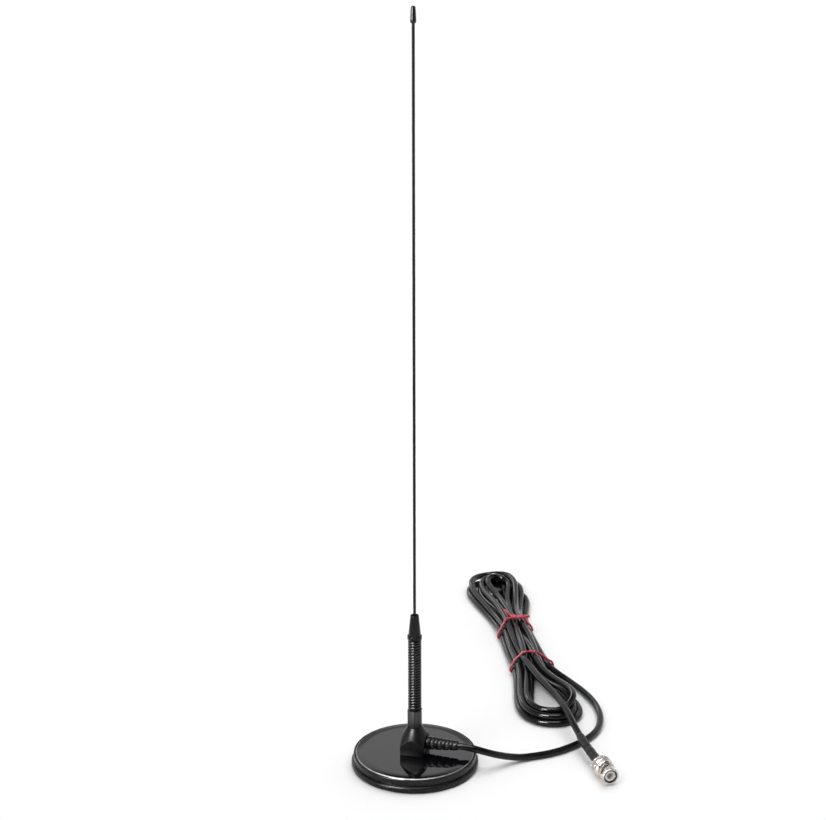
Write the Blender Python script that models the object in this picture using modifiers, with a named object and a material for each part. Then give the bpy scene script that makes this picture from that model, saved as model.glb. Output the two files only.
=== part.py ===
"""Magnetic-mount whip antenna: a rubber-booted magnet base, a sprung whip, and a
coaxial lead tied in a hank that ends in a BNC plug.

Metres, +Z up. The origin is the centre of the base on the surface it stands on.
+X is the side that the cable leaves by, and -Y is the front.
"""

import math

import bmesh
import bpy
from mathutils import Euler, Matrix, Vector

MM = 0.001
GAP = 0.3 * MM  # clearance between neighbouring pieces that touch on the real object
RUNNING = 0.07 * MM  # radial clearance of a shaft that turns or slides in its bore

# Driving dimensions: the base
BOOT_RADIUS = 45.0 * MM
PLATE_RADIUS = 42.3 * MM
PLATE_TOP = 10.4 * MM
PLATE_THICKNESS = 1.8 * MM
PLATE_BOTTOM = PLATE_TOP - PLATE_THICKNESS
SKIRT_BOTTOM = 1.5 * MM
SKIRT_WALL = 1.6 * MM
MAGNET_BORE_RADIUS = 13.0 * MM
PAD_RADIUS = 35.6 * MM
PAD_THICKNESS = 0.9 * MM

# Driving dimensions: the feed housing, turned about Z towards the front
HOUSING_TURN = math.radians(-13.0)
HOUSING_WIDTH = 17.0 * MM
HOUSING_DEPTH = 20.0 * MM
HOUSING_TOP = 29.6 * MM
SHOULDER_RADIUS = 5.3 * MM
SHOULDER_SLOPE = 0.64  # radius gained for each metre down
POCKET_SIDE = 11.0 * MM
POCKET_TOP = 22.5 * MM
SCREW_OFFSET = 7.6 * MM
SCREW_RADIUS = 1.1 * MM
SCREW_TOP = 18.5 * MM
SCREW_HEAD_RADIUS = 2.3 * MM
STUD_RADIUS = 2.4 * MM
STUD_TOP = 37.5 * MM
STUD_HEAD_RADIUS = 3.4 * MM

# Driving dimensions: the mast, from the housing up to the tip
HEX_RADIUS = 5.6 * MM
HEX_TURN = math.radians(23.0)
HEX_TOP = 42.4 * MM
SPRING_TOP = 96.8 * MM
SPRING_RADIUS = 4.8 * MM
SPRING_WIRE_RADIUS = 0.87 * MM
SPRING_TURNS = 24
FLEX_HEIGHT = (HEX_TOP + SPRING_TOP) / 2  # the level that the whip leans about
SPIGOT_RADIUS = 2.6 * MM
SPIGOT_LENGTH = 8.0 * MM
BRAID_RADIUS = 0.6 * MM
COLLAR_RADIUS = 5.1 * MM
COLLAR_TOP = 99.3 * MM
NOSE_TOP = 114.7 * MM
NOSE_FOOT_RADIUS = 4.4 * MM
NOSE_TOP_RADIUS = 2.95 * MM
WHIP_RADIUS = 1.0 * MM
WHIP_FOOT = 93.0 * MM  # low enough that the clamped whip still has 10 mm to slide up
CAP_FOOT = 520.9 * MM
CAP_TOP = 531.7 * MM
CAP_RADIUS = 2.0 * MM

# Driving dimensions: the cable and where it leaves the housing
CABLE_RADIUS = 2.5 * MM
CABLE_HEIGHT = 17.4 * MM
RELIEF_FOOT = 8.8 * MM
RELIEF_END = 31.2 * MM
RELIEF_FOOT_RADIUS = 4.8 * MM
RELIEF_END_RADIUS = 3.3 * MM
RELIEF_SLOTS = 7
RELIEF_FIRST_SLOT = 12.2 * MM
RELIEF_SLOT_PITCH = 2.65 * MM
RELIEF_SLOT_WIDTH = 0.95 * MM
RELIEF_SLOT_REACH = 1.8  # how wide each slot cuts across the sleeve, as a share of its radius
GLAND_RADIUS = 3.5 * MM
FLANGE_RADIUS = 4.2 * MM
HANK_HEIGHT = 10.4 * MM
TIE_RADIUS = 0.7 * MM

# Driving dimensions: the BNC plug, whose axis lies flat; distances along it start at the
# coupling nut's back face
PLUG_ORIGIN = Vector((130.4 * MM, -16.0 * MM, 7.25 * MM))
PLUG_DIRECTION = Vector((0.29, -0.957, 0.0)).normalized()
NUT_RADIUS = 7.25 * MM
NUT_LENGTH = 18.7 * MM
NUT_BORE_RADIUS = 4.9 * MM
BARREL_RADIUS = 5.8 * MM
SLOT_RADIUS = 1.15 * MM
SHOULDER_BACK = 4.0 * MM
SHOULDER_FRONT = 5.4 * MM
SLEEVE_FRONT = 17.6 * MM
SLEEVE_RADIUS = 4.05 * MM
SLEEVE_BORE_RADIUS = 3.4 * MM
STEM_RADIUS = 2.9 * MM
CRIMP_TAIL_RADIUS = 1.65 * MM
PIN_RADIUS = 0.68 * MM
PIN_FRONT = 16.6 * MM
SHRINK_RADIUS = 3.5 * MM
SHRINK_WALL = 0.35 * MM

# The lead's route from inside the housing to the hank, and the tail's from the hank to the plug
LEAD_ROUTE_MM = [
    (3.8, -0.9, 17.4),
    (17.0, -3.9, 17.4),
    (30.4, -7.0, 17.4),
    (38.8, -8.9, 16.7),
    (45.9, -9.4, 14.9),
    (53.0, -8.4, 12.2),
    (60.2, -5.6, 9.0),
    (67.5, -1.8, 5.9),
    (74.8, 1.7, 3.6),
    (82.1, 4.8, 2.6),
    (89.3, 7.0, 2.5),
    (96.6, 9.8, 2.5),
    (104.1, 13.7, 2.5),
    (111.6, 19.0, 2.5),
    (119.3, 25.6, 2.5),
    (127.0, 34.3, 2.5),
    (132.6, 43.8, 2.5),
    (136.2, 54.5, 2.5),
    (137.7, 66.0, 2.5),
    (137.3, 78.0, 2.5),
    (135.2, 90.0, 2.5),
    (131.4, 102.0, 2.5),
    (126.0, 114.0, 2.5),
    (117.3, 130.2, 2.5),
]
TAIL_ROUTE_MM = [
    (85.4, 144.0, 13.3),
    (89.2, 130.8, 13.3),
    (94.6, 111.6, 13.3),
    (100.1, 95.9, 13.3),
    (105.5, 80.5, 13.3),
    (110.3, 62.0, 13.3),
    (113.4, 47.8, 12.4),
    (115.7, 37.1, 11.1),
    (119.0, 23.4, 9.4),
    (122.3, 10.8, 8.2),
    (125.3, 0.8, 7.5),
    (127.5, -6.4, 7.25),
]
# The hank's outline on the floor, clockwise from its upper end
HANK_OUTLINE_MM = [
    (63.0, 334.0),
    (78.0, 329.0),
    (90.0, 309.0),
    (97.0, 280.0),
    (97.5, 248.0),
    (94.2, 216.0),
    (96.0, 190.0),
    (101.5, 167.0),
    (107.5, 146.0),
    (116.0, 122.0),
    (124.0, 98.0),
    (122.5, 72.0),
    (112.0, 52.5),
    (96.0, 49.5),
    (81.5, 62.0),
    (76.5, 88.0),
    (76.5, 118.0),
    (76.0, 150.0),
    (72.5, 190.0),
    (67.5, 222.0),
    (57.0, 249.0),
    (47.5, 278.0),
    (46.5, 306.0),
    (53.0, 326.0),
]
# Each tie: where it crosses the hank's middle, the hank's width there, and its heading
UPPER_TIE = (81.2 * MM, 217.0 * MM, 27.6 * MM, math.radians(-4.0))
LOWER_TIE = (91.2 * MM, 151.0 * MM, 32.0 * MM, math.radians(-4.0))


# ---------------------------------------------------------------- scene and materials


def clear_scene():
    for obj in list(bpy.data.objects):
        bpy.data.objects.remove(obj, do_unlink=True)


def new_collection(name):
    collection = bpy.data.collections.new(name)
    bpy.context.scene.collection.children.link(collection)
    return collection


def new_material(name, colour, roughness, metallic=0.0):
    material = bpy.data.materials.new(name)
    material.use_nodes = True
    shader = material.node_tree.nodes["Principled BSDF"]
    shader.inputs["Base Color"].default_value = (*colour, 1.0)
    shader.inputs["Roughness"].default_value = roughness
    shader.inputs["Metallic"].default_value = metallic
    return material


clear_scene()
PARTS = new_collection("magnetic_mount_antenna")
CUTTERS = new_collection("cutters")

RUBBER = new_material("satin_rubber", (0.035, 0.035, 0.037), 0.55)
GLOSS_BLACK = new_material("gloss_black_plate", (0.012, 0.012, 0.013), 0.08)
HOUSING_PLASTIC = new_material("satin_black_plastic", (0.02, 0.02, 0.021), 0.4)
BLACK_CHROME = new_material("black_chrome", (0.04, 0.038, 0.036), 0.22, 1.0)
SATIN_FERRULE = new_material("satin_black_metal", (0.06, 0.06, 0.062), 0.4, 1.0)
WHIP_BLACK = new_material("black_whip", (0.02, 0.018, 0.017), 0.2)
FERRITE = new_material("ferrite", (0.06, 0.06, 0.065), 0.7)
BRASS = new_material("brass", (0.72, 0.52, 0.2), 0.3, 1.0)
STEEL = new_material("zinc_steel", (0.6, 0.6, 0.6), 0.35, 1.0)
COPPER = new_material("tinned_copper", (0.75, 0.62, 0.5), 0.35, 1.0)
NICKEL = new_material("nickel", (0.78, 0.74, 0.7), 0.2, 1.0)
GOLD = new_material("gold_plating", (0.85, 0.62, 0.25), 0.2, 1.0)
WHITE_INSULATION = new_material("white_insulation", (0.85, 0.85, 0.82), 0.45)
CABLE_JACKET = new_material("cable_jacket", (0.045, 0.045, 0.048), 0.4)
SHRINK_PLASTIC = new_material("heat_shrink_plastic", (0.05, 0.05, 0.05), 0.6)
TIE_RED = new_material("red_tie", (0.6, 0.03, 0.08), 0.4)
SILICONE = new_material("red_silicone", (0.45, 0.1, 0.07), 0.5)


# ---------------------------------------------------------------- building blocks


def place(obj, material, parent=None, location=(0, 0, 0), rotation=(0, 0, 0)):
    """Put a finished sub-part in the antenna's collection, or a cutter in the cutters'."""
    obj.location = location
    obj.rotation_euler = rotation
    obj.parent = parent
    if material is None:
        obj.hide_render = True
        obj.display_type = "WIRE"
        CUTTERS.objects.link(obj)
    else:
        obj.data.materials.clear()
        obj.data.materials.append(material)
        PARTS.objects.link(obj)
    return obj


def shade(mesh):
    mesh.shade_smooth()
    mesh.set_sharp_from_angle(angle=math.radians(35))


def evaluated_mesh(obj):
    """The object's shape with its modifiers applied, as a new closed mesh."""
    bpy.context.scene.collection.objects.link(obj)
    graph = bpy.context.evaluated_depsgraph_get()
    mesh = bpy.data.meshes.new_from_object(obj.evaluated_get(graph))
    name = obj.name
    bpy.data.objects.remove(obj)
    mesh.name = name
    work = bmesh.new()
    work.from_mesh(mesh)
    bmesh.ops.remove_doubles(work, verts=work.verts, dist=0.00001)
    work.to_mesh(mesh)
    work.free()
    shade(mesh)
    return mesh


def turned(name, profile, material, closed=False, segments=48, **placing):
    """A shape turned about its own Z from (radius, height) points, outer side downwards."""
    mesh = bpy.data.meshes.new(name)
    points = [(radius, 0.0, height) for radius, height in profile]
    edges = [(i, i + 1) for i in range(len(points) - 1)]
    if closed:
        edges.append((len(points) - 1, 0))
    mesh.from_pydata(points, edges, [])
    obj = bpy.data.objects.new(name, mesh)
    screw = obj.modifiers.new("turn", "SCREW")
    screw.steps = segments
    screw.render_steps = segments
    screw.use_merge_vertices = True
    screw.merge_threshold = 0.00001
    return place(bpy.data.objects.new(name, evaluated_mesh(obj)), material, **placing)


def ring_profile(outer, inner, low, high):
    return [(outer, high), (outer, low), (inner, low), (inner, high)]


def rod_profile(radius, low, high, chamfer=0.0):
    profile = [(0.0, high), (radius - chamfer, high)]
    if chamfer:
        profile.append((radius, high - chamfer))
    return profile + [(radius, low), (0.0, low)]


def box(name, centre, size, material, **placing):
    work = bmesh.new()
    scaling = Matrix.Diagonal((*size, 1.0))
    bmesh.ops.create_cube(work, size=1.0, matrix=Matrix.Translation(centre) @ scaling)
    mesh = bpy.data.meshes.new(name)
    work.to_mesh(mesh)
    work.free()
    return place(bpy.data.objects.new(name, mesh), material, **placing)


def wire(name, points, radius, material, resolution=2, closed=False, caps=True):
    """A curve object through every point, with a round section."""
    curve = bpy.data.curves.new(name, "CURVE")
    curve.dimensions = "3D"
    curve.bevel_depth = radius
    curve.bevel_resolution = resolution
    curve.use_fill_caps = caps and not closed
    spline = curve.splines.new("POLY")
    spline.points.add(len(points) - 1)
    for target, point in zip(spline.points, points):
        target.co = (*point, 1.0)
    spline.use_cyclic_u = closed
    spline.use_smooth = True
    return place(bpy.data.objects.new(name, curve), material)


def flat_curve(name, outlines, thickness):
    """A level slab with the given outlines, the inner ones being holes."""
    curve = bpy.data.curves.new(name, "CURVE")
    curve.dimensions = "2D"
    curve.fill_mode = "BOTH"
    curve.extrude = thickness / 2
    for outline in outlines:
        spline = curve.splines.new("POLY")
        spline.points.add(len(outline) - 1)
        for target, (x, y) in zip(spline.points, outline):
            target.co = (x, y, 0.0, 1.0)
        spline.use_cyclic_u = True
    return bpy.data.objects.new(name, curve)


def cut(target, cutter, operation="DIFFERENCE"):
    modifier = target.modifiers.new(cutter.name, "BOOLEAN")
    modifier.operation = operation
    modifier.object = cutter


def smooth_path(route, spacing, closed=False):
    """Points about `spacing` apart on the Catmull-Rom curve through the route."""
    knots = [Vector(point) for point in route]
    if closed:
        knots = [knots[-1]] + knots + knots[:2]
    else:
        first = knots[0] * 2 - knots[1]
        last = knots[-1] * 2 - knots[-2]
        knots = [first] + knots + [last]
    points = []
    for a, b, c, d in zip(knots, knots[1:], knots[2:], knots[3:]):
        steps = max(1, round((c - b).length / spacing))
        for step in range(steps):
            t = step / steps
            bend = 2 * b + (c - a) * t + (2 * a - 5 * b + 4 * c - d) * t * t
            points.append((bend + (3 * b - a - 3 * c + d) * t**3) / 2)
    return points if closed else points + [knots[-2]]


def in_metres(points_mm):
    return [Vector(point) * MM for point in points_mm]


def new_empty(name, location, rotation):
    empty = bpy.data.objects.new(name, None)
    empty.location = location
    empty.rotation_euler = rotation
    empty.empty_display_size = 0.01
    PARTS.objects.link(empty)
    return empty


# ---------------------------------------------------------------- base


def make_boot():
    flange_top = 4.5 * MM
    band_radius = 43.5 * MM
    groove_radius = 43.1 * MM
    band_foot = 5.3 * MM
    lip_top = 9.5 * MM
    inside = PLATE_RADIUS + GAP
    under_plate = SKIRT_BOTTOM - GAP
    profile = [
        (inside, lip_top),
        (band_radius - 0.3 * MM, lip_top),
        (band_radius, lip_top - 0.4 * MM),
        (band_radius, band_foot),
        (groove_radius, band_foot - 0.3 * MM),
        (groove_radius, flange_top + 0.2 * MM),
        (BOOT_RADIUS - 0.8 * MM, flange_top),
        (BOOT_RADIUS, flange_top - 0.8 * MM),
        (BOOT_RADIUS, 0.7 * MM),
        (BOOT_RADIUS - 0.6 * MM, 0.0),
        (PAD_RADIUS + GAP, 0.0),
        (PAD_RADIUS + GAP, under_plate),
        (inside, under_plate),
    ]
    turned("rubber_boot", profile, RUBBER, closed=True, segments=60)


def housing_point(x, y, z):
    """A point given in the housing's own turned directions, in the antenna's frame."""
    return Matrix.Rotation(HOUSING_TURN, 3, "Z") @ Vector((x, y, z))


def make_plate():
    edge_round = 0.5 * MM
    profile = [
        (0.0, PLATE_TOP),
        (PLATE_RADIUS - edge_round, PLATE_TOP),
        (PLATE_RADIUS - 0.3 * edge_round, PLATE_TOP - 0.3 * edge_round),
        (PLATE_RADIUS, PLATE_TOP - edge_round),
        (PLATE_RADIUS, SKIRT_BOTTOM),
        (PLATE_RADIUS - SKIRT_WALL, SKIRT_BOTTOM),
        (PLATE_RADIUS - SKIRT_WALL, PLATE_BOTTOM),
        (0.0, PLATE_BOTTOM),
    ]
    plate = turned("top_plate", profile, GLOSS_BLACK, segments=60)
    for side in (-1, 1):
        hole = turned(
            f"plate_hole_{side}",
            rod_profile(SCREW_RADIUS + GAP, PLATE_BOTTOM - MM, PLATE_TOP + MM),
            None,
            segments=16,
            location=housing_point(0, side * SCREW_OFFSET, 0),
        )
        cut(plate, hole)


def make_magnet_and_pad():
    magnet_foot = PAD_THICKNESS + GAP
    outer = PLATE_RADIUS - SKIRT_WALL - GAP
    profile = ring_profile(outer, MAGNET_BORE_RADIUS, magnet_foot, PLATE_BOTTOM - GAP)
    turned("ring_magnet", profile, FERRITE, closed=True, segments=48)
    turned("bottom_pad", rod_profile(PAD_RADIUS, 0.0, PAD_THICKNESS), RUBBER, segments=48)


def make_housing():
    foot = PLATE_TOP + GAP
    block = box(
        "feed_housing",
        (0, 0, (foot + HOUSING_TOP) / 2),
        (HOUSING_WIDTH, HOUSING_DEPTH, HOUSING_TOP - foot),
        HOUSING_PLASTIC,
        rotation=(0, 0, HOUSING_TURN),
    )
    bevel = block.modifiers.new("rounded_edges", "BEVEL")
    bevel.width = 0.6 * MM
    bevel.segments = 2
    widest = 14.0 * MM
    full_width_height = HOUSING_TOP - (widest - SHOULDER_RADIUS) / SHOULDER_SLOPE
    shoulder_profile = [
        (0.0, HOUSING_TOP),
        (SHOULDER_RADIUS, HOUSING_TOP),
        (widest, full_width_height),
        (widest, 0.0),
        (0.0, 0.0),
    ]
    cut(block, turned("housing_shoulder", shoulder_profile, None, segments=64), "INTERSECT")
    pocket = box(
        "housing_pocket",
        (0, 0, POCKET_TOP / 2),
        (POCKET_SIDE, POCKET_SIDE, POCKET_TOP),
        None,
        rotation=(0, 0, HOUSING_TURN),
    )
    cut(block, pocket)
    bore = rod_profile(STUD_RADIUS + GAP, POCKET_TOP - MM, HOUSING_TOP + MM)
    cut(block, turned("stud_bore", bore, None, segments=24))
    gland = turned(
        "cable_gland",
        rod_profile(GLAND_RADIUS, 4.0 * MM, 10.0 * MM),
        None,
        segments=24,
        location=(0, 0, CABLE_HEIGHT),
        rotation=Euler((0, math.pi / 2, HOUSING_TURN)),
    )
    cut(block, gland)
    for side in (-1, 1):
        hole = turned(
            f"housing_screw_hole_{side}",
            rod_profile(SCREW_RADIUS + GAP, 0.0, SCREW_TOP + 0.5 * MM),
            None,
            segments=16,
            location=housing_point(0, side * SCREW_OFFSET, 0),
        )
        cut(block, hole)


def make_housing_screws():
    head_top = PLATE_BOTTOM - GAP
    head_foot = head_top - 1.7 * MM
    profile = [
        (0.0, SCREW_TOP),
        (SCREW_RADIUS - 0.4 * MM, SCREW_TOP),
        (SCREW_RADIUS, SCREW_TOP - MM),
        (SCREW_RADIUS, head_top),
        (SCREW_HEAD_RADIUS, head_top),
        (SCREW_HEAD_RADIUS, head_top - MM),
        (SCREW_HEAD_RADIUS - 0.7 * MM, head_foot),
        (0.0, head_foot),
    ]
    for name, side in (("housing_screw_front", -1), ("housing_screw_rear", 1)):
        foot = housing_point(0, side * SCREW_OFFSET, 0)
        turned(name, profile, STEEL, segments=16, location=foot)


# ---------------------------------------------------------------- feed inside the housing


def make_stud():
    tag_room = 1.1 * MM
    head_top = POCKET_TOP - tag_room
    head_foot = head_top - 1.7 * MM
    profile = [
        (0.0, STUD_TOP),
        (STUD_RADIUS - 0.4 * MM, STUD_TOP),
        (STUD_RADIUS, STUD_TOP - 0.4 * MM),
        (STUD_RADIUS, head_top),
        (STUD_HEAD_RADIUS, head_top),
        (STUD_HEAD_RADIUS, head_foot),
        (0.0, head_foot),
    ]
    turned("feed_stud", profile, BRASS, segments=32)


def make_solder_tag():
    """A flat ring round the stud with a narrow tail for the centre conductor."""
    thickness = 0.5 * MM
    tail_half_width = 0.8 * MM
    tail_end = -5.1 * MM
    shoulder = math.pi - math.asin(tail_half_width / STUD_HEAD_RADIUS)
    outline = [
        (STUD_HEAD_RADIUS * math.cos(turn), STUD_HEAD_RADIUS * math.sin(turn))
        for turn in (shoulder * i / 12 for i in range(-12, 13))
    ]
    outline += [(tail_end, tail_half_width), (tail_end, -tail_half_width)]
    hole = [
        ((STUD_RADIUS + GAP) * math.cos(turn), (STUD_RADIUS + GAP) * math.sin(turn))
        for turn in (math.tau * i / 24 for i in range(24))
    ]
    curve = flat_curve("solder_tag", [outline, hole], thickness)
    mesh = evaluated_mesh(curve)
    place(
        bpy.data.objects.new("solder_tag", mesh),
        COPPER,
        location=(0, 0, POCKET_TOP - 0.3 * MM - thickness / 2),
        rotation=(0, 0, HOUSING_TURN),
    )


def make_cable_core():
    """The stripped end of the cable in the housing's pocket."""
    turned(
        "coax_dielectric",
        rod_profile(1.48 * MM, 1.2 * MM, 3.5 * MM),
        WHITE_INSULATION,
        segments=20,
        location=(0, 0, CABLE_HEIGHT),
        rotation=Euler((0, math.pi / 2, HOUSING_TURN)),
    )
    conductor = [
        (0.9, 0, 17.4),
        (-1.4, 0, 17.3),
        (-3.2, 0, 17.5),
        (-4.2, 0, 18.6),
        (-4.5, 0, 20.2),
        (-4.55, 0, 21.35),
    ]
    pigtail = [
        (3.4, 3.0, 16.4),
        (2.7, 3.2, 14.6),
        (1.8, 3.3, 12.8),
        (1.3, 3.3, 10.8),
    ]
    for name, route, radius in (
        ("centre_conductor", conductor, 0.45 * MM),
        ("braid_pigtail", pigtail, 0.65 * MM),
    ):
        points = [housing_point(*point) * MM for point in route]
        wire(name, smooth_path(points, 0.8 * MM), radius, COPPER)


def relief_radius(along):
    share = (along - RELIEF_FOOT) / (RELIEF_END - RELIEF_FOOT)
    return RELIEF_FOOT_RADIUS + share * (RELIEF_END_RADIUS - RELIEF_FOOT_RADIUS)


def make_strain_relief():
    """A tapered sleeve with staggered slots, held by a flange inside the housing's wall."""
    bore = CABLE_RADIUS + GAP
    neck_radius = GLAND_RADIUS - GAP
    flange = (4.1 * MM, 5.2 * MM)
    profile = [
        (bore, RELIEF_END),
        (RELIEF_END_RADIUS - 0.2 * MM, RELIEF_END),
        (RELIEF_END_RADIUS, RELIEF_END - 0.3 * MM),
        (RELIEF_FOOT_RADIUS, RELIEF_FOOT),
        (neck_radius, RELIEF_FOOT),
        (neck_radius, flange[1]),
        (FLANGE_RADIUS, flange[1]),
        (FLANGE_RADIUS, flange[0]),
        (bore, flange[0]),
    ]
    placing = {
        "location": (0, 0, CABLE_HEIGHT),
        "rotation": Euler((0, math.pi / 2, HOUSING_TURN)),
    }
    relief = turned(
        "strain_relief", profile, HOUSING_PLASTIC, closed=True, segments=24, **placing
    )
    work = bmesh.new()
    for i in range(RELIEF_SLOTS):
        along = RELIEF_FIRST_SLOT + i * RELIEF_SLOT_PITCH
        reach = RELIEF_SLOT_REACH * relief_radius(along)
        right_through = 20 * MM
        sizes = (reach, right_through) if i % 2 == 0 else (right_through, reach)
        scaling = Matrix.Diagonal((*sizes, RELIEF_SLOT_WIDTH, 1.0))
        bmesh.ops.create_cube(
            work, size=1.0, matrix=Matrix.Translation((0, 0, along)) @ scaling
        )
    mesh = bpy.data.meshes.new("relief_slots")
    work.to_mesh(mesh)
    work.free()
    slots = place(bpy.data.objects.new("relief_slots", mesh), None, **placing)
    cut(relief, slots)


# ---------------------------------------------------------------- mast


def make_lower_ferrule():
    """A hexagon that screws down on the stud, with a spigot that the spring fits over."""
    foot = HOUSING_TOP + GAP
    work = bmesh.new()
    bmesh.ops.create_cone(
        work,
        cap_ends=True,
        segments=6,
        radius1=HEX_RADIUS,
        radius2=HEX_RADIUS,
        depth=HEX_TOP - foot,
    )
    mesh = bpy.data.meshes.new("lower_ferrule")
    work.to_mesh(mesh)
    work.free()
    ferrule = place(
        bpy.data.objects.new("lower_ferrule", mesh),
        SATIN_FERRULE,
        location=(0, 0, (foot + HEX_TOP) / 2),
        rotation=(0, 0, HEX_TURN),
    )
    spigot_top = HEX_TOP + SPIGOT_LENGTH
    spigot = rod_profile(SPIGOT_RADIUS, HEX_TOP - MM, spigot_top)
    cut(ferrule, turned("spring_spigot", spigot, None, segments=24), "UNION")
    bore = rod_profile(STUD_RADIUS + RUNNING, foot - MM, STUD_TOP + MM)
    cut(ferrule, turned("ferrule_bore", bore, None, segments=32))
    socket = rod_profile(BRAID_RADIUS + GAP, spigot_top - 2 * MM, spigot_top + MM)
    cut(ferrule, turned("braid_socket", socket, None, segments=12))


def make_spring():
    """A close coil between the two ferrules, with the braid that bridges it inside."""
    coil_radius = SPRING_RADIUS - SPRING_WIRE_RADIUS
    foot = HEX_TOP + GAP + SPRING_WIRE_RADIUS
    top = SPRING_TOP - GAP - SPRING_WIRE_RADIUS
    steps = SPRING_TURNS * 8
    points = []
    for i in range(steps + 1):
        turn = math.tau * SPRING_TURNS * i / steps
        height = foot + (top - foot) * i / steps
        points.append((coil_radius * math.cos(turn), coil_radius * math.sin(turn), height))
    wire("flex_spring", points, SPRING_WIRE_RADIUS, BLACK_CHROME, resolution=1)
    braid_foot = HEX_TOP + SPIGOT_LENGTH - 2 * MM + GAP
    braid_top = SPRING_TOP - SPIGOT_LENGTH + 2 * MM - GAP
    turned("spring_braid", rod_profile(BRAID_RADIUS, braid_foot, braid_top), COPPER, segments=12)


def make_upper_ferrule(flex_axis):
    """A collar on the spring and a tapering nose, bored from above for the whip."""
    bore = WHIP_RADIUS + RUNNING
    spigot_foot = SPRING_TOP - SPIGOT_LENGTH
    socket_top = spigot_foot + 2 * MM
    profile = [
        (0.0, WHIP_FOOT - GAP),
        (bore, WHIP_FOOT - GAP),
        (bore, NOSE_TOP - 1.8 * MM),
        (2.1 * MM, NOSE_TOP),
        (NOSE_TOP_RADIUS - 0.2 * MM, NOSE_TOP),
        (NOSE_TOP_RADIUS, NOSE_TOP - 0.2 * MM),
        (NOSE_FOOT_RADIUS, COLLAR_TOP),
        (COLLAR_RADIUS - 0.3 * MM, COLLAR_TOP),
        (COLLAR_RADIUS, COLLAR_TOP - 0.3 * MM),
        (COLLAR_RADIUS, SPRING_TOP + 0.3 * MM),
        (COLLAR_RADIUS - 0.3 * MM, SPRING_TOP),
        (SPIGOT_RADIUS, SPRING_TOP),
        (SPIGOT_RADIUS, spigot_foot),
        (BRAID_RADIUS + GAP, spigot_foot),
        (BRAID_RADIUS + GAP, socket_top),
        (0.0, socket_top),
    ]
    above_axis = {"parent": flex_axis, "location": (0, 0, -FLEX_HEIGHT)}
    ferrule = turned("upper_ferrule", profile, BLACK_CHROME, segments=32, **above_axis)
    screw_height = 105.0 * MM
    to_the_rear = {
        "parent": flex_axis,
        "location": (0, 0, screw_height - FLEX_HEIGHT),
        "rotation": (-math.pi / 2, 0, 0),
    }
    hole = turned(
        "set_screw_hole", rod_profile(1.35 * MM, 0.0, 6 * MM), None, segments=16, **to_the_rear
    )
    cut(ferrule, hole)
    screw = turned(
        "whip_set_screw",
        rod_profile(1.05 * MM, bore + GAP, 3.7 * MM, chamfer=0.2 * MM),
        STEEL,
        segments=16,
        **to_the_rear,
    )
    socket = turned(
        "set_screw_socket", rod_profile(0.6 * MM, 2.4 * MM, 5 * MM), None, segments=6, **to_the_rear
    )
    cut(screw, socket)


def make_whip(flex_axis):
    above_axis = {"parent": flex_axis, "location": (0, 0, -FLEX_HEIGHT)}
    top = CAP_TOP - 2.1 * MM
    rod = rod_profile(WHIP_RADIUS, WHIP_FOOT, top, 0.1 * MM)
    turned("whip_rod", rod, WHIP_BLACK, segments=24, **above_axis)
    profile = [
        (0.0, CAP_TOP),
        (CAP_RADIUS - 0.45 * MM, CAP_TOP),
        (CAP_RADIUS - 0.12 * MM, CAP_TOP - 0.35 * MM),
        (CAP_RADIUS, CAP_TOP - 0.9 * MM),
        (CAP_RADIUS, CAP_FOOT + 1.2 * MM),
        (CAP_RADIUS - 0.4 * MM, CAP_FOOT),
        (WHIP_RADIUS + GAP, CAP_FOOT),
        (WHIP_RADIUS + GAP, top + GAP),
        (0.0, top + GAP),
    ]
    turned("tip_cap", profile, WHIP_BLACK, segments=24, **above_axis)


# ---------------------------------------------------------------- cable


def make_cable_runs():
    spacing = 5 * CABLE_RADIUS
    lead = smooth_path(in_metres(LEAD_ROUTE_MM), spacing)
    tail = smooth_path(in_metres(TAIL_ROUTE_MM), spacing)
    wire("cable_lead", lead, CABLE_RADIUS, CABLE_JACKET)
    wire("cable_tail", tail, CABLE_RADIUS, CABLE_JACKET)


def tie_channel(name, tie):
    """The room that the lifted strands leave for a tie to pass underneath."""
    x, y, width, heading = tie
    depth = 2 * (TIE_RADIUS + GAP)
    return box(
        name,
        (0, 0, 0),
        (2 * width, 6.0 * MM, 2 * depth),
        None,
        location=(x, y, 0),
        rotation=(0, 0, heading),
    )


def make_hank():
    outline = smooth_path(in_metres([(x, y, 0) for x, y in HANK_OUTLINE_MM]), 10 * MM, True)
    curve = flat_curve("cable_hank", [[(p.x, p.y) for p in outline]], HANK_HEIGHT)
    mesh = evaluated_mesh(curve)
    hank = place(
        bpy.data.objects.new("cable_hank", mesh), CABLE_JACKET, location=(0, 0, HANK_HEIGHT / 2)
    )
    bevel = hank.modifiers.new("rounded_strands", "BEVEL")
    bevel.width = 3.0 * MM
    bevel.segments = 2
    bevel.limit_method = "ANGLE"
    bevel.angle_limit = math.radians(60)
    cut(hank, tie_channel("upper_tie_channel", UPPER_TIE))
    cut(hank, tie_channel("lower_tie_channel", LOWER_TIE))


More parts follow.
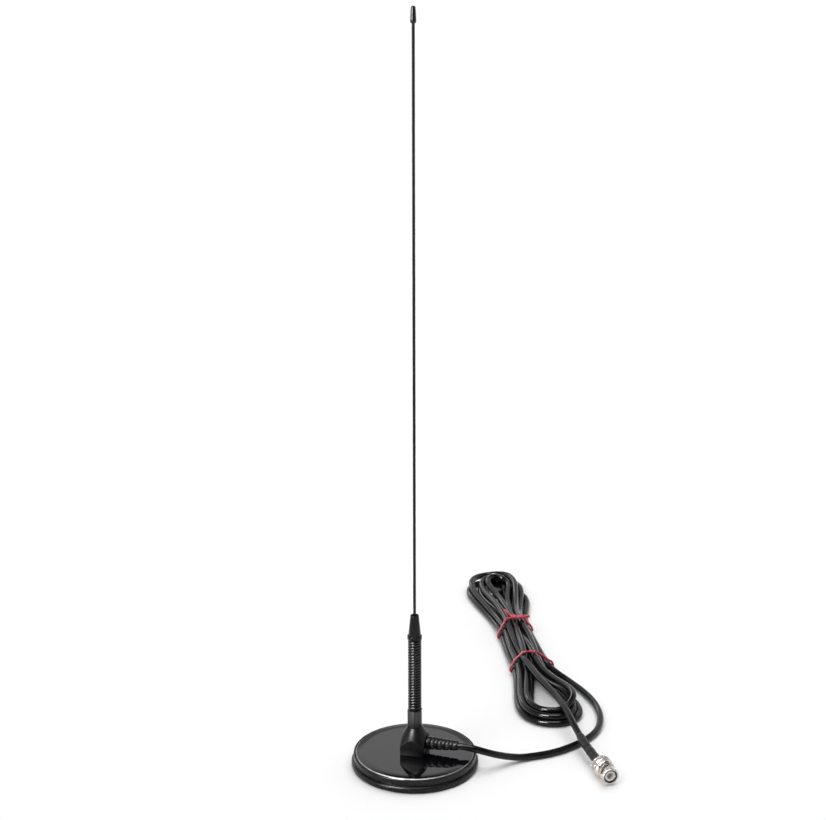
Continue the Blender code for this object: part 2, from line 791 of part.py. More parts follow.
def tie_loop(tie, start_shift, end_shift, tails):
    """A rounded loop round the hank, a wire's width askew so that its ends pass each other."""
    x, y, width, heading = tie
    half_width = width / 2 + GAP + TIE_RADIUS
    low = TIE_RADIUS + 0.1 * MM
    high = HANK_HEIGHT + GAP + TIE_RADIUS
    corner = 3.0 * MM
    corners = (
        (half_width - corner, high - corner, 90),
        (half_width - corner, low + corner, 0),
        (corner - half_width, low + corner, -90),
        (corner - half_width, high - corner, -180),
    )
    section = [(0.0, high)]
    for across, height, first in corners:
        for step in range(5):
            turn = math.radians(first - 22.5 * step)
            section.append((across + corner * math.cos(turn), height + corner * math.sin(turn)))
    section.append((0.0, high))
    points = []
    for i, (across, height) in enumerate(section):
        along = start_shift + (end_shift - start_shift) * i / (len(section) - 1)
        points.append(Vector((across, along, height)))
    points = [Vector(p) for p in tails[0]] + points + [Vector(p) for p in tails[1]]
    to_place = Matrix.Translation((x, y, 0)) @ Matrix.Rotation(heading, 4, "Z")
    return [to_place @ point for point in points]


def make_ties():
    top = HANK_HEIGHT + GAP + TIE_RADIUS
    aside = 1.1 * MM
    knot_tails = (
        [(-7.5 * MM, -aside - 6 * MM, top + 2 * MM), (-2.5 * MM, -aside - MM, top + 1.2 * MM)],
        [(-2.0 * MM, aside + 0.6 * MM, top + 0.8 * MM), (-7.0 * MM, aside + 9 * MM, top + MM)],
    )
    upper = tie_loop(UPPER_TIE, -aside, aside, knot_tails)
    lower = tie_loop(LOWER_TIE, -aside, aside, ([], []))
    wire("tie_upper", upper, TIE_RADIUS, TIE_RED, resolution=1)
    wire("tie_lower", lower, TIE_RADIUS, TIE_RED, resolution=1)


# ---------------------------------------------------------------- BNC plug


def make_heat_shrink(plug):
    """A thin sleeve over the end of the tail and the crimped ferrule."""
    end = PLUG_ORIGIN - PLUG_DIRECTION * 0.5 * MM
    route = in_metres(TAIL_ROUTE_MM[7:]) + [end]
    points = smooth_path(route, 5 * MM)
    sleeve = wire("heat_shrink", points, SHRINK_RADIUS, SHRINK_PLASTIC, resolution=4, caps=False)
    PARTS.objects.unlink(sleeve)
    obj = place(bpy.data.objects.new("heat_shrink", evaluated_mesh(sleeve)), SHRINK_PLASTIC)
    solidify = obj.modifiers.new("wall", "SOLIDIFY")
    solidify.thickness = SHRINK_WALL
    solidify.offset = -1.0
    crimp = ring_profile(2.75 * MM, CRIMP_TAIL_RADIUS + 0.35 * MM, -9.7 * MM, -GAP)
    turned("bnc_crimp_ferrule", crimp, NICKEL, closed=True, segments=24, parent=plug)


def make_plug_body(plug):
    """The outer contact: a stem in the crimp, a shoulder for the nut, and a contact sleeve."""
    pin_hole = PIN_RADIUS + GAP
    stem_foot = -9.0 * MM
    profile = [
        (SLEEVE_BORE_RADIUS, SLEEVE_FRONT),
        (SLEEVE_RADIUS - 0.2 * MM, SLEEVE_FRONT),
        (SLEEVE_RADIUS, SLEEVE_FRONT - 0.3 * MM),
        (SLEEVE_RADIUS, SHOULDER_FRONT),
        (SLEEVE_RADIUS + 0.55 * MM, SHOULDER_FRONT),
        (SLEEVE_RADIUS + 0.55 * MM, SHOULDER_BACK),
        (STEM_RADIUS, SHOULDER_BACK),
        (STEM_RADIUS, 0.0),
        (CRIMP_TAIL_RADIUS, 0.0),
        (CRIMP_TAIL_RADIUS, stem_foot),
        (pin_hole, stem_foot),
        (pin_hole, SHOULDER_FRONT + 0.1 * MM),
        (SLEEVE_BORE_RADIUS, SHOULDER_FRONT + 0.1 * MM),
    ]
    turned("bnc_body", profile, NICKEL, closed=True, segments=24, parent=plug)
    make_insulator(plug, pin_hole)
    pin = [
        (0.0, PIN_FRONT),
        (0.3 * MM, PIN_FRONT),
        (PIN_RADIUS, PIN_FRONT - 0.7 * MM),
        (PIN_RADIUS, stem_foot + MM),
        (0.0, stem_foot + MM),
    ]
    turned("bnc_centre_pin", pin, GOLD, segments=16, parent=plug)
    gasket_back = SHOULDER_FRONT + GAP
    gasket = ring_profile(
        NUT_BORE_RADIUS - 0.1 * MM, SLEEVE_RADIUS + GAP, gasket_back, gasket_back + 1.2 * MM
    )
    turned("bnc_gasket", gasket, SILICONE, closed=True, segments=24, parent=plug)


def make_insulator(plug, pin_hole):
    """The insulator: a plug round the pin, and a collar that a socket's insulator enters."""
    outer = SLEEVE_BORE_RADIUS - GAP
    collar_bore = 2.4 * MM
    recess = 11.5 * MM
    front = SLEEVE_FRONT - 0.5 * MM
    profile = [
        (collar_bore, front),
        (outer, front),
        (outer, SHOULDER_FRONT + 0.4 * MM),
        (pin_hole, SHOULDER_FRONT + 0.4 * MM),
        (pin_hole, recess),
        (collar_bore, recess),
    ]
    turned("bnc_insulator", profile, WHITE_INSULATION, closed=True, segments=24, parent=plug)


def bayonet_slot_points(start_turn):
    """The slot's middle line: from behind the front lip it winds back to the locking hole."""
    front = 15.6 * MM
    back = 11.4 * MM
    sweep = math.radians(95)
    middle = (NUT_BORE_RADIUS + BARREL_RADIUS) / 2
    points = []
    for i in range(9):
        share = i / 8
        turn = start_turn + sweep * share
        along = front + (back - front) * min(1.0, 1.25 * share)
        points.append((middle * math.cos(turn), middle * math.sin(turn), along))
    return points


def make_coupling_nut(plug):
    """The bayonet nut and the washer between its inner flange and the body's shoulder."""
    turned(
        "bnc_thrust_washer",
        ring_profile(NUT_BORE_RADIUS - 0.2 * MM, STEM_RADIUS + GAP, 1.8 * MM, 2.5 * MM),
        STEEL,
        closed=True,
        segments=24,
        parent=plug,
    )
    lip_radius = BARREL_RADIUS + 0.15 * MM
    ring_radius = 7.0 * MM
    groove_radius = 6.6 * MM
    tail_bore_radius = STEM_RADIUS + 0.35 * MM
    flange_front = 1.5 * MM
    profile = [
        (NUT_BORE_RADIUS, NUT_LENGTH),
        (BARREL_RADIUS, NUT_LENGTH),
        (lip_radius, NUT_LENGTH - 0.3 * MM),
        (lip_radius, NUT_LENGTH - 1.3 * MM),
        (BARREL_RADIUS, NUT_LENGTH - 1.6 * MM),
        (BARREL_RADIUS, 9.9 * MM),
        (ring_radius - 0.5 * MM, 9.4 * MM),
        (ring_radius, 8.9 * MM),
        (ring_radius, 6.2 * MM),
        (groove_radius, 5.9 * MM),
        (groove_radius, 5.4 * MM),
        (NUT_RADIUS, 5.0 * MM),
        (NUT_RADIUS, 0.5 * MM),
        (NUT_RADIUS - 0.5 * MM, 0.0),
        (tail_bore_radius + 0.65 * MM, 0.0),
        (tail_bore_radius, 0.7 * MM),
        (tail_bore_radius, flange_front),
        (NUT_BORE_RADIUS, flange_front),
    ]
    nut = turned("bnc_coupling_nut", profile, NICKEL, closed=True, segments=32, parent=plug)
    for index in range(2):
        points = bayonet_slot_points(math.radians(70) + math.pi * index)
        path = wire(f"bayonet_slot_{index}", points, SLOT_RADIUS, None)
        CUTTERS.objects.unlink(path)
        mesh = evaluated_mesh(path)
        slot = place(bpy.data.objects.new(f"bayonet_slot_{index}", mesh), None, parent=plug)
        cut(nut, slot)


def make_plug():
    heading = math.atan2(PLUG_DIRECTION.y, PLUG_DIRECTION.x)
    plug = new_empty("plug_axis", PLUG_ORIGIN, (0, math.pi / 2, heading))
    bpy.context.view_layer.update()
    make_heat_shrink(plug)
    make_plug_body(plug)
    make_coupling_nut(plug)


def main():
    make_boot()
    make_plate()
    make_magnet_and_pad()
    make_housing()
    make_housing_screws()
    make_stud()
    make_solder_tag()
    make_cable_core()
    make_strain_relief()
    make_lower_ferrule()
    make_spring()
    flex_axis = new_empty("spring_flex_axis", (0, 0, FLEX_HEIGHT), (0, 0, 0))
    make_upper_ferrule(flex_axis)
    make_whip(flex_axis)
    make_cable_runs()
    make_hank()
    make_ties()
    make_plug()


main()
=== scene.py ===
"""Looks of the magnetic-mount whip antenna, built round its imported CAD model.

Metres, +Z up, in the CAD model's own frame: the origin is the centre of the base on the
surface that it stands on, +X is the side that the cable leaves by, and -Y is the front.
"""

import math

import bmesh
import bpy
import numpy as np
from mathutils import Matrix, Vector


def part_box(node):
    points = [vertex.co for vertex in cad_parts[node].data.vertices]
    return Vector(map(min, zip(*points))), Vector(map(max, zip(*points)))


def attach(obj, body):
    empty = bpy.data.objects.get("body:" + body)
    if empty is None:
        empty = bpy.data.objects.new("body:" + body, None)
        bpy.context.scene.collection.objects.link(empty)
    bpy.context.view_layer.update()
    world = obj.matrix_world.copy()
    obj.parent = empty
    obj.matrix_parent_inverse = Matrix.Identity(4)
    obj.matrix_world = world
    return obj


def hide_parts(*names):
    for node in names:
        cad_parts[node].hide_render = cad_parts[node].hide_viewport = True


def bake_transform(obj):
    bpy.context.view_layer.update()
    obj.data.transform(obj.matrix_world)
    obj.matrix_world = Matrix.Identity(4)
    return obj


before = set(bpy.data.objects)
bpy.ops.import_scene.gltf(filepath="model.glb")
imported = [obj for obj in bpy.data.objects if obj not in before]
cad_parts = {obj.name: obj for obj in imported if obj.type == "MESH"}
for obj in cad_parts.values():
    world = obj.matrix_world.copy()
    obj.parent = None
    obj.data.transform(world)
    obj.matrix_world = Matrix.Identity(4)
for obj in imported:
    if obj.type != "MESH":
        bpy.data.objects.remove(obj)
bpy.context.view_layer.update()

MM = 0.001

# -------- sizes, from the CAD nodes


def radius_of(node):
    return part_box(node)[1][0]


def heights_of(node):
    """The heights of a node's foot and top."""
    foot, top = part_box(node)
    return foot[2], top[2]


BOOT_RADIUS = radius_of("rubber_boot")
PLATE_RADIUS = radius_of("top_plate")
PAD_RADIUS = radius_of("bottom_pad")
SPRING_RADIUS = radius_of("flex_spring")
WHIP_RADIUS = radius_of("whip_rod")
CAP_RADIUS = radius_of("tip_cap")
BOOT_TOP = heights_of("rubber_boot")[1]
PLATE_FOOT, PLATE_TOP = heights_of("top_plate")
HOUSING_FOOT, HOUSING_TOP = heights_of("feed_housing")
HEX_FOOT, SPIGOT_TOP = heights_of("lower_ferrule")
SPRING_FOOT, SPRING_TOP = heights_of("flex_spring")
BRAID_FOOT, BRAID_TOP = heights_of("spring_braid")
FERRULE_FOOT, NOSE_TOP = heights_of("upper_ferrule")
WHIP_FOOT, WHIP_TOP = heights_of("whip_rod")
CAP_FOOT, CAP_TOP = heights_of("tip_cap")

# Driving dimensions. They are the CAD model's, but for the spring: its wire is thicker here, and
# it has one more turn, so that the coil closes
HOUSING_TURN = math.radians(-13.0)
HOUSING_WIDTH = 17.0 * MM
HOUSING_DEPTH = 20.0 * MM
SHOULDER_RADIUS = 5.3 * MM
SHOULDER_SLOPE = 0.64
HEX_RADIUS = 5.6 * MM
HEX_TURN = math.radians(23.0)
SPRING_WIRE_RADIUS = 0.9 * MM
SPRING_TURNS = 25
CABLE_RADIUS = 2.5 * MM
CABLE_HEIGHT = 17.4 * MM
RELIEF_END = 31.2 * MM
PLUG_ORIGIN = Vector((130.4 * MM, -16.0 * MM, 7.25 * MM))
PLUG_DIRECTION = Vector((0.29, -0.957, 0.0)).normalized()
NUT_GRIP = 7.25 * MM
NUT_RING = 7.0 * MM
NUT_BARREL = 5.8 * MM
NUT_BORE = 4.9 * MM
NUT_LENGTH = 18.7 * MM
KNURL_TOP = 4.9 * MM
KNURL_FOOT = 0.6 * MM
KNURL_TEETH = 44
KNURL_DEPTH = 0.26 * MM

HOUSING_AXES = Matrix.Rotation(HOUSING_TURN, 4, "Z")
# A piece's own +Z becomes the way that the cable leaves the housing, or the plug's way forward
EXIT_AXES = Matrix.Translation((0, 0, CABLE_HEIGHT)) @ HOUSING_AXES @ Matrix.Rotation(math.pi / 2, 4, "Y")
PLUG_AXES = (
    Matrix.Translation(PLUG_ORIGIN)
    @ Matrix.Rotation(math.atan2(PLUG_DIRECTION.y, PLUG_DIRECTION.x), 4, "Z")
    @ Matrix.Rotation(math.pi / 2, 4, "Y")
)

# -------- camera, floor and light

CAMERA_PITCH = math.radians(18.1)
CAMERA_ROLL = math.radians(-0.14)
CAMERA_PLACE = (-0.00074, -1.274, 0.6807)
FOCAL_LENGTH = 87.17
FLOOR_REACH = 12.0

# The studio's grey by how steeply a reflection looks up, as the sine of that angle
STUDIO_BANDS = [(0.2, 1.1), (0.3, 0.4), (0.4, 0.4), (0.45, 1.0), (0.57, 0.95), (0.66, 0.08)]
# It is dimmer to the front: its brightness at the two ends of a ramp along y
STUDIO_RAMP_Y = (-0.75, -0.1)
STUDIO_BRIGHTNESS = (0.12, 1.0)


def add_object(name, data):
    obj = bpy.data.objects.new(name, data)
    bpy.context.scene.collection.objects.link(obj)
    return obj


def make_camera():
    data = bpy.data.cameras.new("camera")
    data.lens = FOCAL_LENGTH
    data.sensor_width = 36.0
    camera = add_object("camera", data)
    tilt = Matrix.Rotation(math.pi / 2 - CAMERA_PITCH, 4, "X")
    camera.matrix_world = Matrix.Translation(CAMERA_PLACE) @ tilt @ Matrix.Rotation(CAMERA_ROLL, 4, "Z")
    bpy.context.scene.camera = camera


def make_sun(name, azimuth, elevation, width, power):
    """An even light, which comes from `azimuth` degrees to the left of the camera."""
    data = bpy.data.lights.new(name, "SUN")
    data.angle = math.radians(width)
    data.energy = power
    light = add_object(name, data)
    turn, rise = math.radians(azimuth), math.radians(elevation)
    way = Vector((-math.sin(turn) * math.cos(rise), -math.cos(turn) * math.cos(rise), math.sin(rise)))
    light.rotation_euler = way.to_track_quat("Z", "Y").to_euler()
    return light


def remapped(tree, value, old, new):
    """The value after the span `old` is stretched onto the span `new`, and clamped to it."""
    span = tree.nodes.new("ShaderNodeMapRange")
    for socket, number in zip(("From Min", "From Max", "To Min", "To Max"), (*old, *new)):
        span.inputs[socket].default_value = number
    tree.links.new(value, span.inputs["Value"])
    return span.outputs[0]


def make_world():
    """The studio that reflections show: pale low down, a white strip that the plate mirrors,
    a dark ceiling, and a dim front, where the camera stands."""
    world = bpy.data.worlds.new("studio")
    bpy.context.scene.world = world
    world.use_nodes = True
    tree = world.node_tree
    way = tree.nodes.new("ShaderNodeTexCoord")
    split = tree.nodes.new("ShaderNodeSeparateXYZ")
    tree.links.new(way.outputs["Generated"], split.inputs[0])
    bands = tree.nodes.new("ShaderNodeValToRGB")
    elements = bands.color_ramp.elements
    for element, (rise, grey) in zip(elements, STUDIO_BANDS[:2]):
        element.position = rise
        element.color = (grey, grey, grey, 1)
    for rise, grey in STUDIO_BANDS[2:]:
        elements.new(rise).color = (grey, grey, grey, 1)
    tree.links.new(split.outputs["Z"], bands.inputs["Fac"])
    brightness = remapped(tree, split.outputs["Y"], STUDIO_RAMP_Y, STUDIO_BRIGHTNESS)
    background = tree.nodes["Background"]
    tree.links.new(bands.outputs["Color"], background.inputs["Color"])
    tree.links.new(brightness, background.inputs["Strength"])


def make_stage():
    """The floor, the studio and its lights, most of which show in reflections only."""
    bpy.context.scene.view_settings.view_transform = "Standard"
    mesh = bpy.data.meshes.new("floor")
    corners = [(x * FLOOR_REACH, y * FLOOR_REACH, 0) for x, y in ((-1, -1), (1, -1), (1, 1), (-1, 1))]
    mesh.from_pydata(corners, [], [(0, 1, 2, 3)])
    mesh.materials.append(principled("pale_floor", (0.93, 0.93, 0.93), 0.9, Specular_IOR_Level=0.0))
    add_object("floor", mesh)
    make_world()
    make_sun("overhead_softbox", -150, 72, 60, 2.1).visible_glossy = False
    make_sun("key_softbox", 42, 47, 24, 0.9)
    make_sun("key_highlight", 42, 47, 24, 5.5).visible_diffuse = False
    make_sun("overhead_highlight", 0, 84, 28, 1.7).visible_diffuse = False
    make_sun("side_strip", 50, 2, 20, 5.0).visible_diffuse = False
    make_sun("back_strip", 155, 22, 10, 0.14).visible_diffuse = False


# -------- materials


def principled(name, colour, roughness, metallic=0.0, **sockets):
    """A Principled material. Further sockets go by their names, with _ for a space."""
    material = bpy.data.materials.new(name)
    material.use_nodes = True
    shader = material.node_tree.nodes["Principled BSDF"]
    shader.inputs["Base Color"].default_value = (*colour, 1.0)
    shader.inputs["Roughness"].default_value = roughness
    shader.inputs["Metallic"].default_value = metallic
    for socket, value in sockets.items():
        shader.inputs[socket.replace("_", " ")].default_value = value
    return material


def add_noise(material, scale, detail, stretch=(1, 1, 1)):
    """A noise texture over the object's own coordinates, finer along an axis with more stretch."""
    nodes, links = material.node_tree.nodes, material.node_tree.links
    where = nodes.new("ShaderNodeTexCoord")
    mapping = nodes.new("ShaderNodeMapping")
    mapping.inputs["Scale"].default_value = stretch
    noise = nodes.new("ShaderNodeTexNoise")
    noise.inputs["Scale"].default_value = scale
    noise.inputs["Detail"].default_value = detail
    links.new(where.outputs["Object"], mapping.inputs["Vector"])
    links.new(mapping.outputs["Vector"], noise.inputs["Vector"])
    return noise.outputs["Fac"]


def vary_roughness(material, noise, least, most):
    """Uneven gloss. Here and below, noise is (scale, detail) or (scale, detail, stretch)."""
    tree = material.node_tree
    gloss = remapped(tree, add_noise(material, *noise), (0.3, 0.7), (least, most))
    tree.links.new(gloss, tree.nodes["Principled BSDF"].inputs["Roughness"])


def vary_colour(material, noise, dark, light, spread=(0.35, 0.65)):
    nodes, links = material.node_tree.nodes, material.node_tree.links
    ramp = nodes.new("ShaderNodeValToRGB")
    for element, position, colour in zip(ramp.color_ramp.elements, spread, (dark, light)):
        element.position = position
        element.color = (*colour, 1)
    links.new(add_noise(material, *noise), ramp.inputs["Fac"])
    links.new(ramp.outputs["Color"], nodes["Principled BSDF"].inputs["Base Color"])


def add_bump(material, noise, depth, strength):
    """A fine relief, `depth` metres deep."""
    nodes, links = material.node_tree.nodes, material.node_tree.links
    bump = nodes.new("ShaderNodeBump")
    bump.inputs["Strength"].default_value = strength
    bump.inputs["Distance"].default_value = depth
    links.new(add_noise(material, *noise), bump.inputs["Height"])
    links.new(bump.outputs["Normal"], nodes["Principled BSDF"].inputs["Normal"])


def make_rubber():
    rubber = principled("satin_rubber", (0.01, 0.01, 0.01), 0.25, Specular_IOR_Level=0.2)
    vary_colour(rubber, (60, 4), (0.006, 0.006, 0.006), (0.014, 0.014, 0.014))
    vary_roughness(rubber, (220, 4), 0.2, 0.32)
    add_bump(rubber, (3000, 2), 0.00002, 0.25)
    return rubber


def make_plate_gloss():
    gloss = principled("gloss_black_plate", (0.003, 0.003, 0.004), 0.03, Specular_IOR_Level=0.55)
    vary_roughness(gloss, (90, 5), 0.02, 0.055)
    vary_colour(gloss, (1400, 2), (0.003, 0.003, 0.004), (0.01, 0.01, 0.01), (0.72, 0.78))
    add_bump(gloss, (45, 1), 0.00002, 0.15)
    return gloss


# A pale rough metal for the band on the plate's rim: a painted highlight.
def make_painted_highlight_edge():
    edge = principled("painted_highlight_edge", (0.24, 0.24, 0.25), 0.5, 1.0)
    vary_colour(edge, (300, 4), (0.2, 0.2, 0.21), (0.3, 0.3, 0.31))
    vary_roughness(edge, (600, 3), 0.45, 0.58)
    add_bump(edge, (2400, 2), 0.00001, 0.4)
    return edge


def make_housing_plastic():
    plastic = principled("satin_black_plastic", (0.005, 0.005, 0.006), 0.3, Specular_IOR_Level=0.2)
    vary_colour(plastic, (150, 4), (0.004, 0.004, 0.005), (0.008, 0.008, 0.009))
    vary_roughness(plastic, (500, 4), 0.26, 0.36)
    add_bump(plastic, (4200, 2), 0.00003, 0.35)
    return plastic


def make_satin_metal():
    satin = principled("satin_black_metal", (0.015, 0.0145, 0.015), 0.34, Specular_IOR_Level=0.6)
    vary_colour(satin, (260, 4), (0.012, 0.0115, 0.012), (0.022, 0.021, 0.022))
    vary_roughness(satin, (700, 3, (1, 1, 0.15)), 0.28, 0.4)
    add_bump(satin, (2400, 2, (1, 1, 0.1)), 0.00002, 0.4)
    return satin


def make_black_chrome(name, specular):
    chrome = principled(name, (0.006, 0.005, 0.0045), 0.14, Specular_IOR_Level=specular)
    vary_colour(chrome, (300, 3), (0.005, 0.004, 0.0035), (0.012, 0.009, 0.008))
    vary_roughness(chrome, (900, 3), 0.06, 0.12)
    add_bump(chrome, (2600, 2), 0.00001, 0.2)
    return chrome


def make_whip_black():
    whip = principled("black_whip", (0.006, 0.005, 0.005), 0.18, Specular_IOR_Level=0.25)
    vary_colour(whip, (200, 3), (0.005, 0.004, 0.004), (0.01, 0.009, 0.008))
    vary_roughness(whip, (900, 3, (1, 1, 0.05)), 0.12, 0.24)
    add_bump(whip, (2600, 2, (1, 1, 0.08)), 0.00001, 0.35)
    return whip


def make_cap_black():
    cap = principled("moulded_cap", (0.008, 0.0078, 0.0078), 0.12, Specular_IOR_Level=0.35)
    vary_colour(cap, (400, 3), (0.006, 0.0058, 0.0058), (0.012, 0.0115, 0.0115))
    vary_roughness(cap, (900, 3), 0.08, 0.16)
    add_bump(cap, (3800, 2), 0.00002, 0.3)
    return cap


def make_cable_jacket():
    jacket = principled("cable_jacket", (0.008, 0.008, 0.009), 0.18, Specular_IOR_Level=0.25)
    vary_colour(jacket, (70, 5), (0.005, 0.005, 0.006), (0.011, 0.011, 0.012))
    vary_roughness(jacket, (350, 4), 0.13, 0.22)
    add_bump(jacket, (2200, 3), 0.00001, 0.25)
    return jacket


def make_shrink_plastic():
    shrink = principled("heat_shrink_sleeve", (0.01, 0.01, 0.01), 0.42, Specular_IOR_Level=0.3)
    vary_colour(shrink, (120, 4), (0.005, 0.005, 0.005), (0.012, 0.012, 0.012))
    vary_roughness(shrink, (500, 4), 0.34, 0.5)
    add_bump(shrink, (1500, 3), 0.00004, 0.6)
    return shrink


def make_tie_red():
    red = principled("red_tie", (0.62, 0.03, 0.07), 0.4, Subsurface_Weight=0.15, Subsurface_Scale=0.001)
    vary_colour(red, (500, 4), (0.42, 0.012, 0.035), (0.78, 0.06, 0.11))
    vary_roughness(red, (900, 3), 0.3, 0.5)
    add_bump(red, (2600, 3), 0.00008, 0.8)
    return red


def make_nickel():
    nickel = principled("nickel", (0.6, 0.55, 0.52), 0.22, 1.0)
    vary_colour(nickel, (240, 5), (0.5, 0.45, 0.42), (0.68, 0.63, 0.6))
    vary_roughness(nickel, (700, 4), 0.14, 0.3)
    add_bump(nickel, (2600, 2), 0.00001, 0.4)
    return nickel


def make_plain_metal(name, colour, roughness):
    metal = principled(name, colour, roughness, 1.0)
    darker = tuple(0.72 * value for value in colour)
    vary_colour(metal, (350, 5), darker, colour)
    vary_roughness(metal, (900, 3), 0.7 * roughness, 1.4 * roughness)
    add_bump(metal, (2800, 2), 0.00001, 0.4)
    return metal


def make_dull(name, colour, roughness):
    dull = principled(name, colour, roughness)
    darker = tuple(0.7 * value for value in colour)
    vary_colour(dull, (200, 5), darker, colour)
    vary_roughness(dull, (600, 3), 0.85 * roughness, min(1.0, 1.2 * roughness))
    add_bump(dull, (1500, 3), 0.00004, 0.5)
    return dull


# -------- the cable's route

CABLE = 2 * CABLE_RADIUS
ROUTE_STEP = 2.5 * MM
LEAD_ROUTE_MM = [
    (3.8, -0.9, 17.4), (17.0, -3.9, 17.4), (30.4, -7.0, 17.4), (38.8, -8.9, 16.7),
    (45.9, -9.4, 14.9), (53.0, -8.4, 12.2), (60.2, -5.6, 9.0), (67.5, -1.8, 5.9),
    (74.8, 1.7, 3.6), (82.1, 4.8, 2.6), (89.3, 7.0, 2.5), (96.6, 9.8, 2.5),
    (104.1, 13.7, 2.5), (111.6, 19.0, 2.5), (119.3, 25.6, 2.5), (127.0, 34.3, 2.5),
    (132.6, 43.8, 2.5), (136.2, 54.5, 2.5), (137.7, 66.0, 2.5), (137.3, 78.0, 2.5),
    (135.2, 90.0, 2.5), (131.4, 102.0, 2.5), (126.0, 114.0, 2.5), (117.3, 130.2, 2.5),
]
TAIL_ROUTE_MM = [
    (85.4, 144.0, 13.3), (89.2, 130.8, 13.3), (94.6, 111.6, 13.3), (100.1, 95.9, 13.3),
    (105.5, 80.5, 13.3), (110.3, 62.0, 13.3), (113.4, 47.8, 12.4), (115.7, 37.1, 11.1),
    (119.0, 23.4, 9.4), (122.3, 10.8, 8.2), (125.3, 0.8, 7.5), (127.5, -6.4, 7.25),
]


def tie_at(x, y, along_x, along_y, width):
    """A tie: its place, the way from it to its end loops, and the room inside it."""
    return np.array([x, y]) * MM, np.array([along_x, along_y]) / math.hypot(along_x, along_y), width * MM


UPPER_TIE = tie_at(81.2, 217.0, -19.0, 117.0, 27.6)
LOWER_TIE = tie_at(91.2, 151.0, 11.8, -101.0, 32.0)
TIE_RADIUS = 0.9 * MM
FIRST_ROW = CABLE_RADIUS + 2 * TIE_RADIUS
ROW_RISE = 4.5 * MM
FOLD_RADIUS = 13.5 * MM

# Each end loop, in mm: its reach past the tie, its swell to the left and to the right, where its
# tip lies across, the height that it is laid at, and how far its right-hand side dips. With a
# negative dip, that side rises
UPPER_LOOPS = [
    (84.0, 6.0, 23.5, 8.0, 2.5, 0.0),
    (106.0, 20.6, 10.0, -4.0, 4.5, 0.0),
    (103.0, 12.0, 22.6, 6.0, 4.5, 0.0),
    (114.0, 18.2, 17.5, 0.0, 8.0, -4.5),
    (100.0, 11.5, 15.0, -1.0, 12.0, 7.0),
    (97.0, 5.5, 14.0, 3.0, 13.5, 7.0),
]
LOWER_LOOPS = [
    (92.0, 16.0, 18.5, 4.0, 2.5, 0.0),
    (96.0, 19.5, 22.0, 4.0, 2.5, 0.0),
    (90.0, 13.5, 17.0, 3.0, 5.0, 0.0),
    (95.0, 17.5, 20.0, 5.0, 8.5, 0.0),
    (88.5, 15.5, 18.0, 1.0, 12.0, 0.0),
]
# Where the strands cross the ties, (mm across, row): a turn's right strand, then its left one
UPPER_SLOTS = [
    ((10.4, 0), (-5.2, 0)),
    ((0.0, 0), (-10.4, 0)),
    ((7.8, 1), (-2.6, 1)),
    ((5.6, 2), (-7.8, 1)),
    ((5.2, 0), (-4.8, 2)),
    ((2.6, 1), (0.4, 2)),
]
LOWER_SLOTS = [
    ((13.5, 0), (-8.1, 0)),
    ((2.7, 0), (-13.5, 0)),
    ((8.1, 0), (-2.7, 0)),
    ((5.4, 1), (-10.8, 1)),
    ((0.0, 1), (-5.4, 1)),
    ((1.8, 2), (-4.8, 2)),
]


def smooth_path(route, spacing, closed=False):
    """Points about `spacing` apart on the Catmull-Rom curve through the route."""
    knots = [np.array(point, float) for point in route]
    if closed:
        knots = [knots[-1]] + knots + knots[:2]
    else:
        knots = [2 * knots[0] - knots[1]] + knots + [2 * knots[-1] - knots[-2]]
    points = []
    for a, b, c, d in zip(knots, knots[1:], knots[2:], knots[3:]):
        steps = max(1, round(np.linalg.norm(c - b) / spacing))
        for step in range(steps):
            t = step / steps
            bend = 2 * b + (c - a) * t + (2 * a - 5 * b + 4 * c - d) * t * t
            points.append((bend + (3 * b - a - 3 * c + d) * t**3) / 2)
    return np.array(points if closed else points + [knots[-2]])


def evenly(line, spacing):
    """The same line with its points the same distance apart."""
    along = np.concatenate([[0], np.cumsum(np.linalg.norm(np.diff(line, axis=0), axis=1))])
    at = np.linspace(0, along[-1], max(2, round(along[-1] / spacing) + 1))
    return np.stack([np.interp(at, along, line[:, axis]) for axis in range(3)], axis=1)


def length_of(line):
    return float(np.linalg.norm(np.diff(line, axis=0), axis=1).sum())


def tie_right(tie):
    """The direction to the right of a tie, seen from the front, whichever way its loops go."""
    way = tie[1]
    return np.array([abs(way[1]), -way[0] * math.copysign(1, way[1])])


def slot_point(tie, slot):
    across, row = slot
    place = tie[0] + tie_right(tie) * across * MM
    return [*place, FIRST_ROW + row * ROW_RISE]


